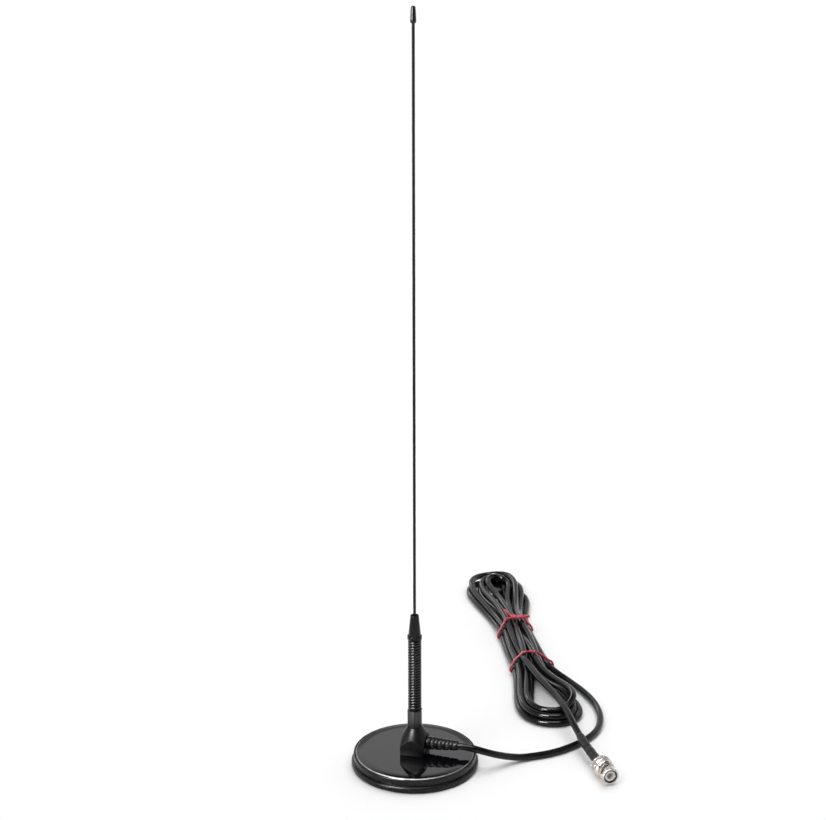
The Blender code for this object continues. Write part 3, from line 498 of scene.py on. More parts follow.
def end_loop(tie, right_slot, left_slot, loop):
    """The points of an end loop, from its right-hand strand round to its left-hand one."""
    reach, left_swell, right_swell, tip, height, dip = (value * MM for value in loop)
    halves = []
    for slot, swell in ((right_slot, right_swell - tip), (left_slot, left_swell + tip)):
        foot = abs(slot[0] * MM - tip)
        # Near its widest, 50 degrees round, cos(t) is 0.643 and cos(t) - cos(3t) is 1.509
        belly = max(0.0, (swell - 0.643 * foot) / 1.509)
        halves.append((slot, foot, belly))
    nose = sum(foot + 4 * belly for _, foot, belly in halves) / 2
    bluntness = min(1.0, max(0.4, nose * nose / (FOLD_RADIUS * reach)))
    points = []
    steps = 28
    for i in range(1, steps):
        turn = math.pi * i / steps
        slot, foot, belly = halves[0] if turn < math.pi / 2 else halves[1]
        across = tip + (foot + belly) * math.cos(turn) - belly * math.cos(3 * turn)
        if (slot[0] * MM - tip) * math.cos(turn) < 0:  # this foot lies across the tip's line
            across -= 2 * foot * math.cos(turn) * abs(math.cos(turn)) ** 3
        along = reach * math.sin(turn) ** bluntness
        foot_height = FIRST_ROW + slot[1] * ROW_RISE
        # The strand is at the loop's own height from 45% of its reach on
        share = min(1.0, along / (0.45 * reach))
        z = foot_height + (height - foot_height) * share * share * (3 - 2 * share)
        z -= dip * max(0.0, math.sin(2 * turn))
        points.append([*(tie[0] + along * tie[1] + across * tie_right(tie)), z])
    return points


def hank_as_laid():
    """The hank's middle line, turn after turn, before its strands settle."""
    points = []
    for turn, upper_loop in enumerate(UPPER_LOOPS):
        upper_right, upper_left = UPPER_SLOTS[turn]
        lower_right, lower_left = LOWER_SLOTS[turn]
        points += [slot_point(LOWER_TIE, lower_right), slot_point(UPPER_TIE, upper_right)]
        points += end_loop(UPPER_TIE, upper_right, upper_left, upper_loop)
        points += [slot_point(UPPER_TIE, upper_left), slot_point(LOWER_TIE, lower_left)]
        if turn < len(LOWER_LOOPS):
            next_right = LOWER_SLOTS[turn + 1][0]
            points += end_loop(LOWER_TIE, next_right, lower_left, LOWER_LOOPS[turn])[::-1]
    return points


def eased(values, free, passes):
    """Three-point running means along the cable. The fixed stretches keep their values."""
    values = values.copy()
    for _ in range(passes):
        mean = (values[2:] + 2 * values[1:-1] + values[:-2]) / 4
        values[1:-1] += (mean - values[1:-1]) * free[1:-1, None]
    return values


def neighbours(points):
    """Pairs of the cable's points that lie near each other but not next to each other along it."""
    square = (points * points).sum(1)
    apart = square[:, None] + square[None, :] - 2 * points @ points.T
    first, second = np.nonzero(apart < (1.8 * CABLE) ** 2)
    along = second - first > 9
    return first[along], second[along]


def contact_push(points, free, pairs):
    """How far each point moves to leave the strands that it runs into, mostly up or down."""
    first, second = pairs
    way = points[second] - points[first]
    distance = np.linalg.norm(way, axis=1)
    hit = distance < CABLE
    first, second, way = first[hit], second[hit], way[hit] * (1.0, 1.0, 1.8)
    way /= np.maximum(np.linalg.norm(way, axis=1), 1e-9)[:, None]
    lack = (CABLE - distance[hit]) / np.maximum(free[first] + free[second], 1)
    count = len(points)
    push = np.zeros_like(points)
    for axis in range(3):
        push[:, axis] = np.bincount(second, way[:, axis] * lack * free[second], count)
        push[:, axis] -= np.bincount(first, way[:, axis] * lack * free[first], count)
    touches = np.bincount(first, minlength=count) + np.bincount(second, minlength=count)
    # With several contacts, a point moves by more than their mean and by less than their sum
    return push / np.maximum(1, touches)[:, None] ** 0.7


def tie_push(points, free, tie):
    """How far the strands inside a tie move to fit its width and height."""
    push = np.zeros_like(points)
    place, way, width = tie
    right = tie_right(tie)
    along, across = (points[:, :2] - place) @ way, (points[:, :2] - place) @ right
    inside = (np.abs(along) < 3 * MM) & (free > 0)
    half = width / 2 - CABLE_RADIUS
    push[inside, :2] = (np.clip(across, -half, half) - across)[inside, None] * right
    top = FIRST_ROW + 2.15 * ROW_RISE  # a little over the third row
    push[inside, 2] = (np.clip(points[:, 2], FIRST_ROW, top) - points[:, 2])[inside]
    return push


def settled(line, free, rounds=260):
    """The line after its strands sink to rest on the floor and on each other, inside the ties."""
    laid = eased(line, free, 14)
    shift = np.zeros_like(laid)
    for step in range(rounds):
        if step % 6 == 0:
            pairs = neighbours(laid + shift)
        shift += 0.9 * contact_push(laid + shift, free, pairs)
        # Each strand sinks, ever less, and not at all in the last rounds
        shift[:, 2] -= 0.04 * MM * free * max(0.0, 1 - 1.1 * step / rounds)
        shift = eased(shift, free, 2 if step < 0.8 * rounds else 1)
        shift[:, 2] += np.maximum(0, CABLE_RADIUS - (laid + shift)[:, 2]) * free
        for tie in (UPPER_TIE, LOWER_TIE):
            shift += tie_push(laid + shift, free, tie)
    return eased(laid + shift, free, 2)


def cable_line():
    """The whole cable's middle line: the lead, the hank's turns, then the tail."""
    lead = evenly(smooth_path(np.array(LEAD_ROUTE_MM) * MM, ROUTE_STEP), ROUTE_STEP)
    tail = evenly(smooth_path(np.array(TAIL_ROUTE_MM) * MM, ROUTE_STEP), ROUTE_STEP)
    turns = smooth_path([lead[-1], *hank_as_laid(), tail[0]], ROUTE_STEP)
    line = np.concatenate([lead, evenly(turns, ROUTE_STEP)[1:-1], tail])
    free = np.ones(len(line))
    free[: len(lead)] = 0.0
    free[-len(tail) :] = 0.0
    return settled(line, free)


# -------- building blocks


def new_piece(name, mesh, material, smooth_angle=40):
    """An object from a finished mesh, with its material."""
    mesh.shade_smooth()
    mesh.set_sharp_from_angle(angle=math.radians(smooth_angle))
    mesh.materials.clear()
    mesh.materials.append(material)
    obj = add_object(name, mesh)
    return obj


def placed(name, mesh, material, body, node, smooth_angle=40):
    """A piece that moves with a body, and that stands where a CAD node was."""
    piece = new_piece(name, mesh, material, smooth_angle)
    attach(piece, body)
    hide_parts(node)
    return piece


def mm(*points, at=(0, 0)):
    """Points of a profile, given in millimetres from a place, in metres."""
    return [(at[0] + radius * MM, at[1] + height * MM) for radius, height in points]


def mesh_from(name, points, faces):
    mesh = bpy.data.meshes.new(name)
    mesh.from_pydata([tuple(point) for point in points], [], faces)
    mesh.validate()
    return mesh


def filleted(profile, radius, steps=4):
    """The profile with each inner corner rounded, by at most `radius`."""
    points = [Vector(point) for point in profile]
    out = [points[0]]
    for before, corner, after in zip(points, points[1:], points[2:]):
        to_before, to_after = before - corner, after - corner
        if min(to_before.length, to_after.length) < 1e-7:
            continue
        reach = min(radius, 0.45 * to_before.length, 0.45 * to_after.length)
        start, end = corner + to_before.normalized() * reach, corner + to_after.normalized() * reach
        for i in range(steps + 1):
            t = i / steps
            out.append(start * (1 - t) ** 2 + corner * 2 * t * (1 - t) + end * t * t)
    return [(point.x, point.y) for point in out + [points[-1]]]


def lathed(name, profile, segments=96, closed=False, radius_at=None):
    """A mesh turned about +Z from (radius, height) points that run down its outer side.

    radius_at(radius, height, turn) can press a pattern into it.
    """
    points, rings = [], []
    for radius, height in profile:
        if radius < 1e-7:
            rings.append([len(points)])
            points.append((0, 0, height))
            continue
        rings.append(range(len(points), len(points) + segments))
        for i in range(segments):
            turn = math.tau * i / segments
            r = radius_at(radius, height, turn) if radius_at else radius
            points.append((r * math.cos(turn), r * math.sin(turn), height))
    faces = []
    pairs = list(zip(rings, rings[1:]))
    if closed:
        pairs.append((rings[-1], rings[0]))
    for upper, lower in pairs:
        for i in range(segments):
            j = (i + 1) % segments
            if len(upper) > 1 and len(lower) > 1:
                faces.append((upper[i], lower[i], lower[j], upper[j]))
            elif len(lower) > 1:
                faces.append((upper[0], lower[i], lower[j]))
            elif len(upper) > 1:
                faces.append((upper[i], lower[0], upper[j]))
    return mesh_from(name, points, faces)


def peg(name, radius, top, foot, segments):
    """A plain cylinder about +Z."""
    return lathed(name, [(0, top), (radius, top), (radius, foot), (0, foot)], segments)


def frames_along(line, closed=False):
    """Two directions across a line at each point, carried along it without twisting."""
    ways = np.gradient(line, axis=0)
    if closed:
        ways = np.roll(line, -1, axis=0) - np.roll(line, 1, axis=0)
    ways /= np.linalg.norm(ways, axis=1)[:, None]
    side = np.cross(ways[0], (0, 0, 1.0))
    if np.linalg.norm(side) < 1e-3:
        side = np.array([1.0, 0, 0])
    sides = []
    for way in ways:
        side = side - way * (side @ way)
        side = side / np.linalg.norm(side)
        sides.append(side)
    sides = np.array(sides)
    return sides, np.cross(ways, sides)


def tube(name, line, radius, sides=12, closed=False):
    """A closed round tube along a line. radius is a number, or one number for each point."""
    line = np.array(line, float)
    radii = np.broadcast_to(radius, len(line))
    across, over = frames_along(line, closed)
    points, faces = [], []
    for centre, a, b, r in zip(line, across, over, radii):
        for i in range(sides):
            turn = math.tau * i / sides
            points.append(centre + r * (math.cos(turn) * a + math.sin(turn) * b))
    count = len(line)
    for k in range(count if closed else count - 1):
        here, there = k * sides, (k + 1) % count * sides
        for i in range(sides):
            j = (i + 1) % sides
            faces.append((here + i, here + j, there + j, there + i))
    if not closed:
        faces.append(tuple(range(sides - 1, -1, -1)))
        faces.append(tuple((count - 1) * sides + i for i in range(sides)))
    return mesh_from(name, points, faces)


def cube(name, centre, size, axes=Matrix.Identity(4)):
    work = bmesh.new()
    scaling = Matrix.Diagonal((*size, 1.0))
    bmesh.ops.create_cube(work, size=1.0, matrix=axes @ Matrix.Translation(centre) @ scaling)
    mesh = bpy.data.meshes.new(name)
    work.to_mesh(mesh)
    work.free()
    return mesh


def combined(mesh, others, operation="DIFFERENCE"):
    """The mesh after a Boolean with each of the others, which are used up."""
    target = add_object("target", mesh)
    tools = []
    for other in others:
        tool = add_object("tool", other)
        modifier = target.modifiers.new("tool", "BOOLEAN")
        modifier.operation = operation
        modifier.object = tool
        tools.append(tool)
    return baked(target, tools)


def baked(target, tools=()):
    """The object's evaluated mesh. The object and its tools are removed."""
    graph = bpy.context.evaluated_depsgraph_get()
    mesh = bpy.data.meshes.new_from_object(target.evaluated_get(graph))
    for obj in (target, *tools):
        bpy.data.objects.remove(obj)
    return mesh


def bevelled(mesh, width, segments=3, angle=35):
    """The mesh with its sharp edges rounded."""
    work = bmesh.new()
    work.from_mesh(mesh)
    bmesh.ops.remove_doubles(work, verts=work.verts, dist=1e-6)
    bmesh.ops.dissolve_limit(work, angle_limit=math.radians(1), verts=work.verts, edges=work.edges)
    work.to_mesh(mesh)
    work.free()
    obj = add_object("bevelled", mesh)
    modifier = obj.modifiers.new("round", "BEVEL")
    modifier.width = width
    modifier.segments = segments
    modifier.limit_method = "ANGLE"
    modifier.angle_limit = math.radians(angle)
    return baked(obj)


def paint(node, material):
    """A carried-over CAD node gets a finished material."""
    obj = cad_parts[node]
    obj.data.materials.clear()
    obj.data.materials.append(material)


# -------- base


def make_boot(rubber):
    """The rubber boot: a flange, a groove and a band that holds the plate's rim."""
    inside = PLATE_RADIUS + 0.3 * MM
    pad_room = PAD_RADIUS + 0.3 * MM
    profile = [
        (inside, BOOT_TOP), *mm((43.3, 0), (43.5, -0.5), at=(0, BOOT_TOP)),
        *mm((43.5, 5.5), (43.0, 5.2), (43.0, 4.75), (44.3, 4.5)),
        (BOOT_RADIUS, 3.6 * MM), (BOOT_RADIUS, 0.8 * MM), (44.2 * MM, 0.0), (pad_room, 0.0),
        (pad_room, 1.2 * MM), (inside, 1.2 * MM), (inside, BOOT_TOP - 0.6 * MM),
    ]
    mesh = lathed("boot", filleted(profile, 0.45 * MM), 180, closed=True)
    placed("boot", mesh, rubber, "base", "rubber_boot")


def make_plate(gloss, painted_highlight):
    """The pressed plate, gloss all over, with a rolled rim. A pale metal band on the rim is a painted
    highlight.
    """
    under = PLATE_TOP - 1.8 * MM
    roll_width, roll_drop = 5.5 * MM, 0.48 * MM
    roll_curve = 1.6
    rim = [
        (PLATE_RADIUS - 0.95 * MM, PLATE_TOP - roll_drop),
        (PLATE_RADIUS - 0.3 * MM, PLATE_TOP - roll_drop - 0.46 * MM),
    ]
    roll = []
    for share in np.linspace(0.0, 1.0, 12)[:-1]:
        roll.append((rim[0][0] - roll_width * (1 - share), PLATE_TOP - roll_drop * share**roll_curve))
    profile = [
        (0.0, PLATE_TOP), (30.0 * MM, PLATE_TOP), *roll, *rim,
        (PLATE_RADIUS, PLATE_TOP - 1.4 * MM), (PLATE_RADIUS, PLATE_FOOT),
        (PLATE_RADIUS - 1.6 * MM, PLATE_FOOT), (PLATE_RADIUS - 1.6 * MM, under), (0.0, under),
    ]
    mesh = lathed("plate", filleted(profile, 0.5 * MM), 180)
    placed("plate", mesh, gloss, "base", "top_plate")

    # The band along the rolled rim stands proud of it in the pale metal: a painted highlight.
    proud, sunk = 0.05 * MM, 0.3 * MM
    (inner, inner_top), (outer, outer_top) = rim
    band = [
        (inner, inner_top + proud), (outer, outer_top + proud),
        (outer, outer_top - sunk), (inner, inner_top - sunk),
    ]
    mesh = lathed("plate_edge", filleted(band, 0.1 * MM), 180, closed=True)
    edge = new_piece("plate_edge", mesh, painted_highlight)
    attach(edge, "base")


def make_housing(plastic):
    """The moulded block on the plate: flat sides, and a coned shoulder up to the mast."""
    height = HOUSING_TOP - HOUSING_FOOT
    centre = (0, 0, HOUSING_FOOT + height / 2)
    block = cube("housing", centre, (HOUSING_WIDTH, HOUSING_DEPTH, height), HOUSING_AXES)
    widest = 14.0 * MM
    full_width = HOUSING_TOP - (widest - SHOULDER_RADIUS) / SHOULDER_SLOPE
    shoulder = [(0, HOUSING_TOP), (SHOULDER_RADIUS, HOUSING_TOP), (widest, full_width), (widest, 0), (0, 0)]
    block = combined(block, [lathed("shoulder", shoulder, 128)], "INTERSECT")
    rounded = bevelled(block, 0.45 * MM, 3, 20)
    side, pocket_top = 11.0 * MM, 22.5 * MM
    pocket = cube("pocket", (0, 0, pocket_top / 2), (side, side, pocket_top), HOUSING_AXES)
    bore = peg("bore", 2.7 * MM, 31 * MM, 20 * MM, 48)
    gland = peg("gland", 3.5 * MM, 11 * MM, 4 * MM, 48)
    gland.transform(EXIT_AXES)
    cutters = [pocket, bore, gland]
    for across in (-7.6 * MM, 7.6 * MM):
        hole = peg("screw_hole", 1.4 * MM, 19 * MM, 0, 24)
        hole.transform(HOUSING_AXES @ Matrix.Translation((0, across, 0)))
        cutters.append(hole)
    mesh = combined(rounded, cutters)
    placed("housing", mesh, plastic, "base", "feed_housing", 30)


def make_strain_relief(plastic, core_painted_shade):
    """A tapered sleeve with staggered slots over a soft core, so that the cable bends gently. The core is a
    real part, but its darker, matte black is painted shade in the slots.
    """
    foot, end = 8.8 * MM, RELIEF_END
    foot_radius, end_radius = 4.8 * MM, 3.3 * MM
    core_foot, core_end = 3.7 * MM, 2.85 * MM
    neck_foot, flange_end = 4.1 * MM, 5.2 * MM
    bore = CABLE_RADIUS + 0.1 * MM
    profile = [
        (core_end, end), (end_radius - 0.1 * MM, end), (end_radius + 0.1 * MM, end - 0.6 * MM),
        (foot_radius, foot), (3.2 * MM, foot), (3.2 * MM, flange_end), (4.2 * MM, flange_end),
        (4.2 * MM, neck_foot), (bore, neck_foot), (bore, foot + 0.6 * MM),
        (core_foot, foot + 0.6 * MM),
    ]
    sleeve = lathed("relief", filleted(profile, 0.4 * MM), 64, closed=True)
    slots = []
    slot_count, slot_width, right_through = 7, 1.1 * MM, 20 * MM
    for i in range(slot_count):
        along = (12.2 + 2.65 * i) * MM
        radius = foot_radius + (along - foot) / (end - foot) * (end_radius - foot_radius)
        opening = 1.8 * radius
        sizes = (opening, right_through) if i % 2 == 0 else (right_through, opening)
        slots.append(cube("slot", (0, 0, along), (*sizes, slot_width)))
    mesh = bevelled(combined(sleeve, slots), 0.12 * MM, 2, 40)
    mesh.transform(EXIT_AXES)
    placed("relief", mesh, plastic, "base", "strain_relief", 35)

    # The core fills the sleeve's inside. Its black, darker than the sleeve's, is painted shade in the
    # slots.
    gap = 0.03 * MM
    profile = [
        (bore, end - 0.3 * MM), (core_end - gap, end - 0.3 * MM),
        (core_foot - gap, foot + 0.7 * MM), (bore, foot + 0.7 * MM),
    ]
    mesh = lathed("relief_core", profile, 48, closed=True)
    mesh.transform(EXIT_AXES)
    core = new_piece("relief_core", mesh, core_painted_shade)
    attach(core, "base")


# -------- mast


def make_lower_ferrule(satin):
    """The hexagon on the stud: chamfered corners, a groove at its foot, and the spring's spigot."""
    top = SPRING_FOOT - 0.3 * MM
    hexagon = peg("hexagon", HEX_RADIUS, top, HEX_FOOT, 6)
    hexagon.transform(Matrix.Rotation(HEX_TURN, 4, "Z"))
    rounding = [
        (0, top + 0.2 * MM), *mm((-0.35, 0.2), (0.15, -0.25), at=(HEX_RADIUS, top)),
        *mm((0.25, 0.4), (-0.6, -0.1), at=(HEX_RADIUS, HEX_FOOT)), (0, HEX_FOOT - 0.1 * MM),
    ]
    hexagon = combined(hexagon, [lathed("rounding", rounding, 96)], "INTERSECT")
    hexagon = bevelled(hexagon, 0.12 * MM, 2, 20)
    whole = combined(hexagon, [peg("spigot", 2.6 * MM, SPIGOT_TOP, top - MM, 48)], "UNION")
    stud_bore = peg("stud_bore", 2.47 * MM, 38.5 * MM, HEX_FOOT - MM, 48)
    braid_socket = peg("braid_socket", 0.9 * MM, SPIGOT_TOP + MM, SPIGOT_TOP - 2 * MM, 24)
    mesh = combined(whole, [stud_bore, braid_socket])
    placed("hex_ferrule", mesh, satin, "mast", "lower_ferrule", 30)


def woven(radius, height, turn):
    """The braid's surface: eight ridges climb round it each way, a turn in 5.6 mm."""
    climb = height * 9000
    return radius * (1 + 0.09 * math.sin(8 * turn + climb) * math.sin(8 * turn - climb))


def make_spring(chrome, copper):
    """The coil, with a touching turn at each end, and the braid inside it."""
    foot, top = SPRING_FOOT + SPRING_WIRE_RADIUS, SPRING_TOP - SPRING_WIRE_RADIUS
    coil_radius = SPRING_RADIUS - SPRING_WIRE_RADIUS
    end_pitch = 2.04 * SPRING_WIRE_RADIUS
    open_turns = SPRING_TURNS - 2
    knots = [(0, foot), (1, foot + end_pitch), (1 + open_turns, top - end_pitch), (SPRING_TURNS, top)]
    steps_each_turn = 36
    line = []
    for turns in np.arange(SPRING_TURNS * steps_each_turn + 1) / steps_each_turn:
        turn = math.tau * turns
        height = np.interp(turns, *zip(*knots))
        line.append((coil_radius * math.cos(turn), coil_radius * math.sin(turn), height))
    mesh = tube("spring_coil", line, SPRING_WIRE_RADIUS, 12)
    spring = new_piece("spring_coil", mesh, chrome)
    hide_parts("flex_spring")

    heights = np.linspace(BRAID_FOOT, BRAID_TOP, 60)
    profile = [(0, BRAID_TOP)] + [(0.56 * MM, z) for z in heights[::-1]] + [(0, BRAID_FOOT)]
    mesh = lathed("bonding_braid", profile, 32, radius_at=woven)
    braid = new_piece("bonding_braid", mesh, copper)
    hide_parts("spring_braid")
    for piece in (spring, braid):
        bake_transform(piece)


def threaded(radius, height, turn):
    """The set screw's fine thread, on its outer side only."""
    if radius <= MM:
        return radius
    return radius - 0.06 * MM * (0.5 + 0.5 * math.sin(height * 12000 + turn))


def make_upper_ferrule(chrome, steel):
    """The collar on the spring and the nose that clamps the whip."""
    bore = WHIP_RADIUS + 0.07 * MM
    collar_foot = SPRING_TOP + 0.3 * MM
    collar_top = collar_foot + 2.5 * MM
    spigot = 2.6 * MM
    socket = 0.9 * MM
    profile = [
        (0.0, WHIP_FOOT - 0.3 * MM), (bore, WHIP_FOOT - 0.3 * MM), (bore, NOSE_TOP - 2.1 * MM),
        *mm((2.15, -0.5), (2.2, 0), (2.75, 0), (2.95, -0.25), at=(0, NOSE_TOP)),
        *mm((4.35, 0.35), (4.35, 0), (5.1, 0), at=(0, collar_top)), (5.1 * MM, collar_foot),
        (spigot, collar_foot), (spigot, FERRULE_FOOT), (socket, FERRULE_FOOT),
        (socket, FERRULE_FOOT + 2 * MM), (0.0, FERRULE_FOOT + 2 * MM),
    ]
    body = lathed("nose", filleted(profile, 0.3 * MM), 96)
    screw_height = 105.0 * MM
    to_rear = Matrix.Translation((0, 0, screw_height)) @ Matrix.Rotation(-math.pi / 2, 4, "X")
    hole = peg("hole", 1.35 * MM, 6 * MM, 0.2 * MM, 32)
    hole.transform(to_rear)
    placed("nose_ferrule", combined(body, [hole]), chrome, "whip_head", "upper_ferrule", 30)

    end, tip = 3.7 * MM, bore + 0.3 * MM
    grub = [(0, end), (0.9 * MM, end), (1.05 * MM, end - 0.2 * MM), (1.05 * MM, tip), (0, tip)]
    heights = [(1.05 * MM, z) for z in np.linspace(end - 0.2 * MM, tip, 24)]
    screw = lathed("grub", grub[:3] + heights[1:] + grub[-1:], 32, radius_at=threaded)
    screw = combined(screw, [peg("key", 0.6 * MM, 5 * MM, 2.4 * MM, 6)])
    screw.transform(to_rear)
    placed("grub_screw", screw, steel, "whip_head", "whip_set_screw", 35)


def make_whip(black, cap_black):
    profile = [(0, WHIP_TOP), (WHIP_RADIUS, WHIP_TOP)]
    profile += [(WHIP_RADIUS, z) for z in np.linspace(WHIP_TOP, WHIP_FOOT, 60)[1:-1]]
    profile += [(WHIP_RADIUS, WHIP_FOOT), (0, WHIP_FOOT)]
    mesh = lathed("whip", filleted(profile, 0.1 * MM, 2), 40)
    placed("whip", mesh, black, "whip", "whip_rod")

    mouth = WHIP_RADIUS + 0.3 * MM
    inner_top = WHIP_TOP + 0.3 * MM
    profile = [
        (0, CAP_TOP), *mm((-1.15, 0), (-0.6, -0.35), (-0.45, -1.3), at=(CAP_RADIUS, CAP_TOP)),
        *mm((0, 1.6), (0, 0.8), (-0.35, 0), at=(CAP_RADIUS, CAP_FOOT)),
        (mouth, CAP_FOOT), (mouth, inner_top), (0, inner_top),
    ]
    mesh = lathed("whip_cap", filleted(profile, 0.5 * MM), 64)
    placed("whip_cap", mesh, cap_black, "whip", "tip_cap")


# -------- cable


def make_cable(line, jacket):
    curve = bpy.data.curves.new("cable", "CURVE")
    curve.dimensions = "3D"
    curve.bevel_depth = CABLE_RADIUS
    curve.bevel_resolution = 6
    curve.use_fill_caps = True
    spline = curve.splines.new("POLY")
    spline.points.add(len(line) - 1)
    for target, point in zip(spline.points, line):
        target.co = (*point, 1.0)
    spline.use_smooth = True
    curve.materials.append(jacket)
    cable = add_object("cable", curve)
    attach(cable, "base")
    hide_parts("cable_lead", "cable_hank", "cable_tail")
    return cable


def strands_in(line, tie):
    """Where the strands cross a tie, as (across, height)."""
    place, way, width = tie
    right = tie_right(tie)
    along = (line[:, :2] - place) @ way
    found = []
    for i in np.flatnonzero(along[:-1] * along[1:] <= 0):
        share = along[i] / (along[i] - along[i + 1])
        point = line[i] + (line[i + 1] - line[i]) * share
        across = (point[:2] - place) @ right
        if abs(across) < width / 2 + CABLE:
            found.append((across, point[2]))
    return found


def hull(points):
    """The convex outline of some points, anticlockwise."""
    points = sorted(set(points))

    def half(points):
        chain = []
        for p in points:
            while len(chain) > 1:
                (ax, ay), (bx, by) = chain[-2:]
                if (bx - ax) * (p[1] - ay) - (by - ay) * (p[0] - ax) > 0:
                    break
                chain.pop()
            chain.append(p)
        return chain[:-1]

    return half(points) + half(points[::-1])


def tie_loop(line, tie, lean):
    """A loop drawn round the strands, from the top, which leans along the hank on its left."""
    reach = CABLE_RADIUS + TIE_RADIUS + 0.2 * MM
    rim = []
    for across, height in strands_in(line, tie):
        for i in range(24):
            turn = math.tau * i / 24
            rim.append((across + reach * math.cos(turn), height + reach * math.sin(turn)))
    outline = hull([(a, max(TIE_RADIUS, h)) for a, h in rim])
    section = evenly(np.array([[a, h, 0] for a, h in outline + outline[:1]]), 1.5 * MM)[:-1]
    section = np.roll(section, -int(section[:, 1].argmax()), axis=0)
    place, way, _ = tie
    leftmost = section[:, 0].min()
    points = []
    for across, height, _ in section:
        forward = math.copysign(1, way[1]) * lean * max(0.0, across / leftmost) ** 2
        points.append([*(place + across * tie_right(tie) - forward * way), height])
    return np.array(points)


def crinkled(line, depth, seed):
    """The line with small kinks, as a wire tie keeps from the fingers that twisted it."""
    random = np.random.default_rng(seed)
    kinks = random.normal(0, depth, line.shape)
    kinks = (kinks + np.roll(kinks, 1, axis=0)) / 2
    out = line + kinks
    out[:, 2] = np.maximum(out[:, 2], TIE_RADIUS)
    return out


def tie_wire(name, route, closed=False, width=1.0, seed=1):
    """A coated wire along the route. Its coating is dented here and there."""
    path = smooth_path(route, 0.5 * MM, closed)
    random = np.random.default_rng(seed)
    dents = np.convolve(random.normal(0, 1, len(path) + 4), np.ones(5) / 5, "valid")
    return tube(name, path, width * TIE_RADIUS * (1 + 0.13 * np.clip(dents, -1.2, 1.2)), 10, closed)


def joined(meshes):
    work = bmesh.new()
    for mesh in meshes:
        work.from_mesh(mesh)
    whole = bpy.data.meshes.new("joined")
    work.to_mesh(whole)
    work.free()
    return whole


def tie_knot(loop, side):
    """The knot on a tie: the wire's two ends twisted together, then spread apart."""
    near = np.linalg.norm(loop - (loop[0] + np.array(side)), axis=1).argmin()
    centre = loop[near] + (0, 0, 0.6 * MM)
    along = np.array([0.97, 0.2, 0.1])
    along /= np.linalg.norm(along)
    over = np.cross(along, (0, 0, 1.0))
    over /= np.linalg.norm(over)
    up = np.cross(over, along)
    wrap_turns, wrap_length, wrap_steps = 2.2, 3.6 * MM, 27
    twist = []
    for share in np.arange(wrap_steps + 1) / wrap_steps:
        turn = math.tau * wrap_turns * share
        radius = (1.25 - 0.3 * math.cos(math.tau * share)) * MM
        reach = (share - 0.5) * wrap_length
        twist.append(centre + along * reach + radius * (math.cos(turn) * over + math.sin(turn) * up))
    pieces = [tie_wire("wrap", crinkled(np.array(twist), 0.1 * MM, 4), width=1.05, seed=4)]
    right_end = np.array([(0, 0, 0), (2.5, 0.2, 0.4), (6.0, 0.3, 0.7), (9.5, 0.9, 0.4), (13.0, 1.0, 0.2)])
    left_end = np.array([(0, 0, 0), (-2.2, 2.3, 0.8), (-4.6, 5.2, 1.6), (-7.4, 8.2, 2.6)])
    # crinkled() keeps a line above the floor, so an end is lifted while it gets its kinks
    lift = (0, 0, 9)
    for end, width, seed in ((right_end, 1.3, 7), (left_end, 0.95, 8)):
        route = centre + crinkled(end * MM + lift, 0.12 * MM, seed) - lift
        pieces.append(tie_wire("end", route, width=width, seed=seed))
    second = right_end[:4] * MM + np.array([0, -1.1 * MM, -0.5 * MM])
    pieces.append(tie_wire("end", centre + second, width=0.9, seed=9))
    return pieces


def make_ties(line, red):
    ties = []
    for name, node, tie, lean, seed in (
        ("tie_at_top", "tie_upper", UPPER_TIE, 7 * MM, 3),
        ("tie_at_bottom", "tie_lower", LOWER_TIE, 4 * MM, 5),
    ):
        loop = tie_loop(line, tie, lean)
        meshes = [tie_wire(name, crinkled(loop, 0.2 * MM, seed), True, 1.0, seed)]
        if node == "tie_upper":
            meshes += tie_knot(loop, (4.5 * MM, 0, 0))
        ties.append(placed(name, joined(meshes), red, "base", node, 60))
    return ties


# -------- plug


def make_shrink(shrink):
    """The sleeve over the cable's end: a stepped start, and a ridge over the crimped tube."""
    end = (PLUG_ORIGIN - PLUG_DIRECTION * 0.5 * MM) / MM
    path = evenly(smooth_path([*TAIL_ROUTE_MM[8:], tuple(end)], 1.0), 0.6) * MM
    distance = np.linspace(0, length_of(path), len(path)) / MM
    length = distance[-1]
    # Its radius at each distance along it, both in mm
    steps = [(0.0, 2.5), (0.3, 2.72), (1.5, 2.86), (4.0, 3.0), (14.0, 3.1), (19.0, 3.05)]
    ridge = [(20.5, 3.3), (28.0, 3.35), (length - 0.6, 3.4), (length, 3.1)]
    radii = np.interp(distance, *zip(*steps, *ridge))
    # Shrinking leaves it a little uneven
    radii += 0.05 * np.sin(distance * 0.9) + 0.03 * np.sin(distance * 2.7)
    mesh = tube("sleeve", path, radii * MM, 40)
    return placed("sleeve", mesh, shrink, "base", "heat_shrink", 50)


def on_plug(name, mesh, material, body, node, smooth_angle=35):
    """A piece given in the plug's own axes, whose +Z runs forward from the nut's back face."""
    mesh.transform(PLUG_AXES)
    return placed(name, mesh, material, body, node, smooth_angle)


def knurl(radius, height, turn):
    """A diamond knurl on the nut's grip, as the radius at a height and a turn."""
    if radius < NUT_RING or not KNURL_FOOT < height < KNURL_TOP:
        return radius
    pitch = math.tau * radius / KNURL_TEETH
    slope, sharpness = 0.62, 3.2
    tooth, climb = KNURL_TEETH * turn / math.tau, height / pitch * slope
    pressed = 0.0
    for place in ((tooth + climb) % 1.0, (tooth - climb) % 1.0):
        pressed += max(0.0, 1 - sharpness * min(place, 1 - place))
    return radius - KNURL_DEPTH * min(1.0, pressed)


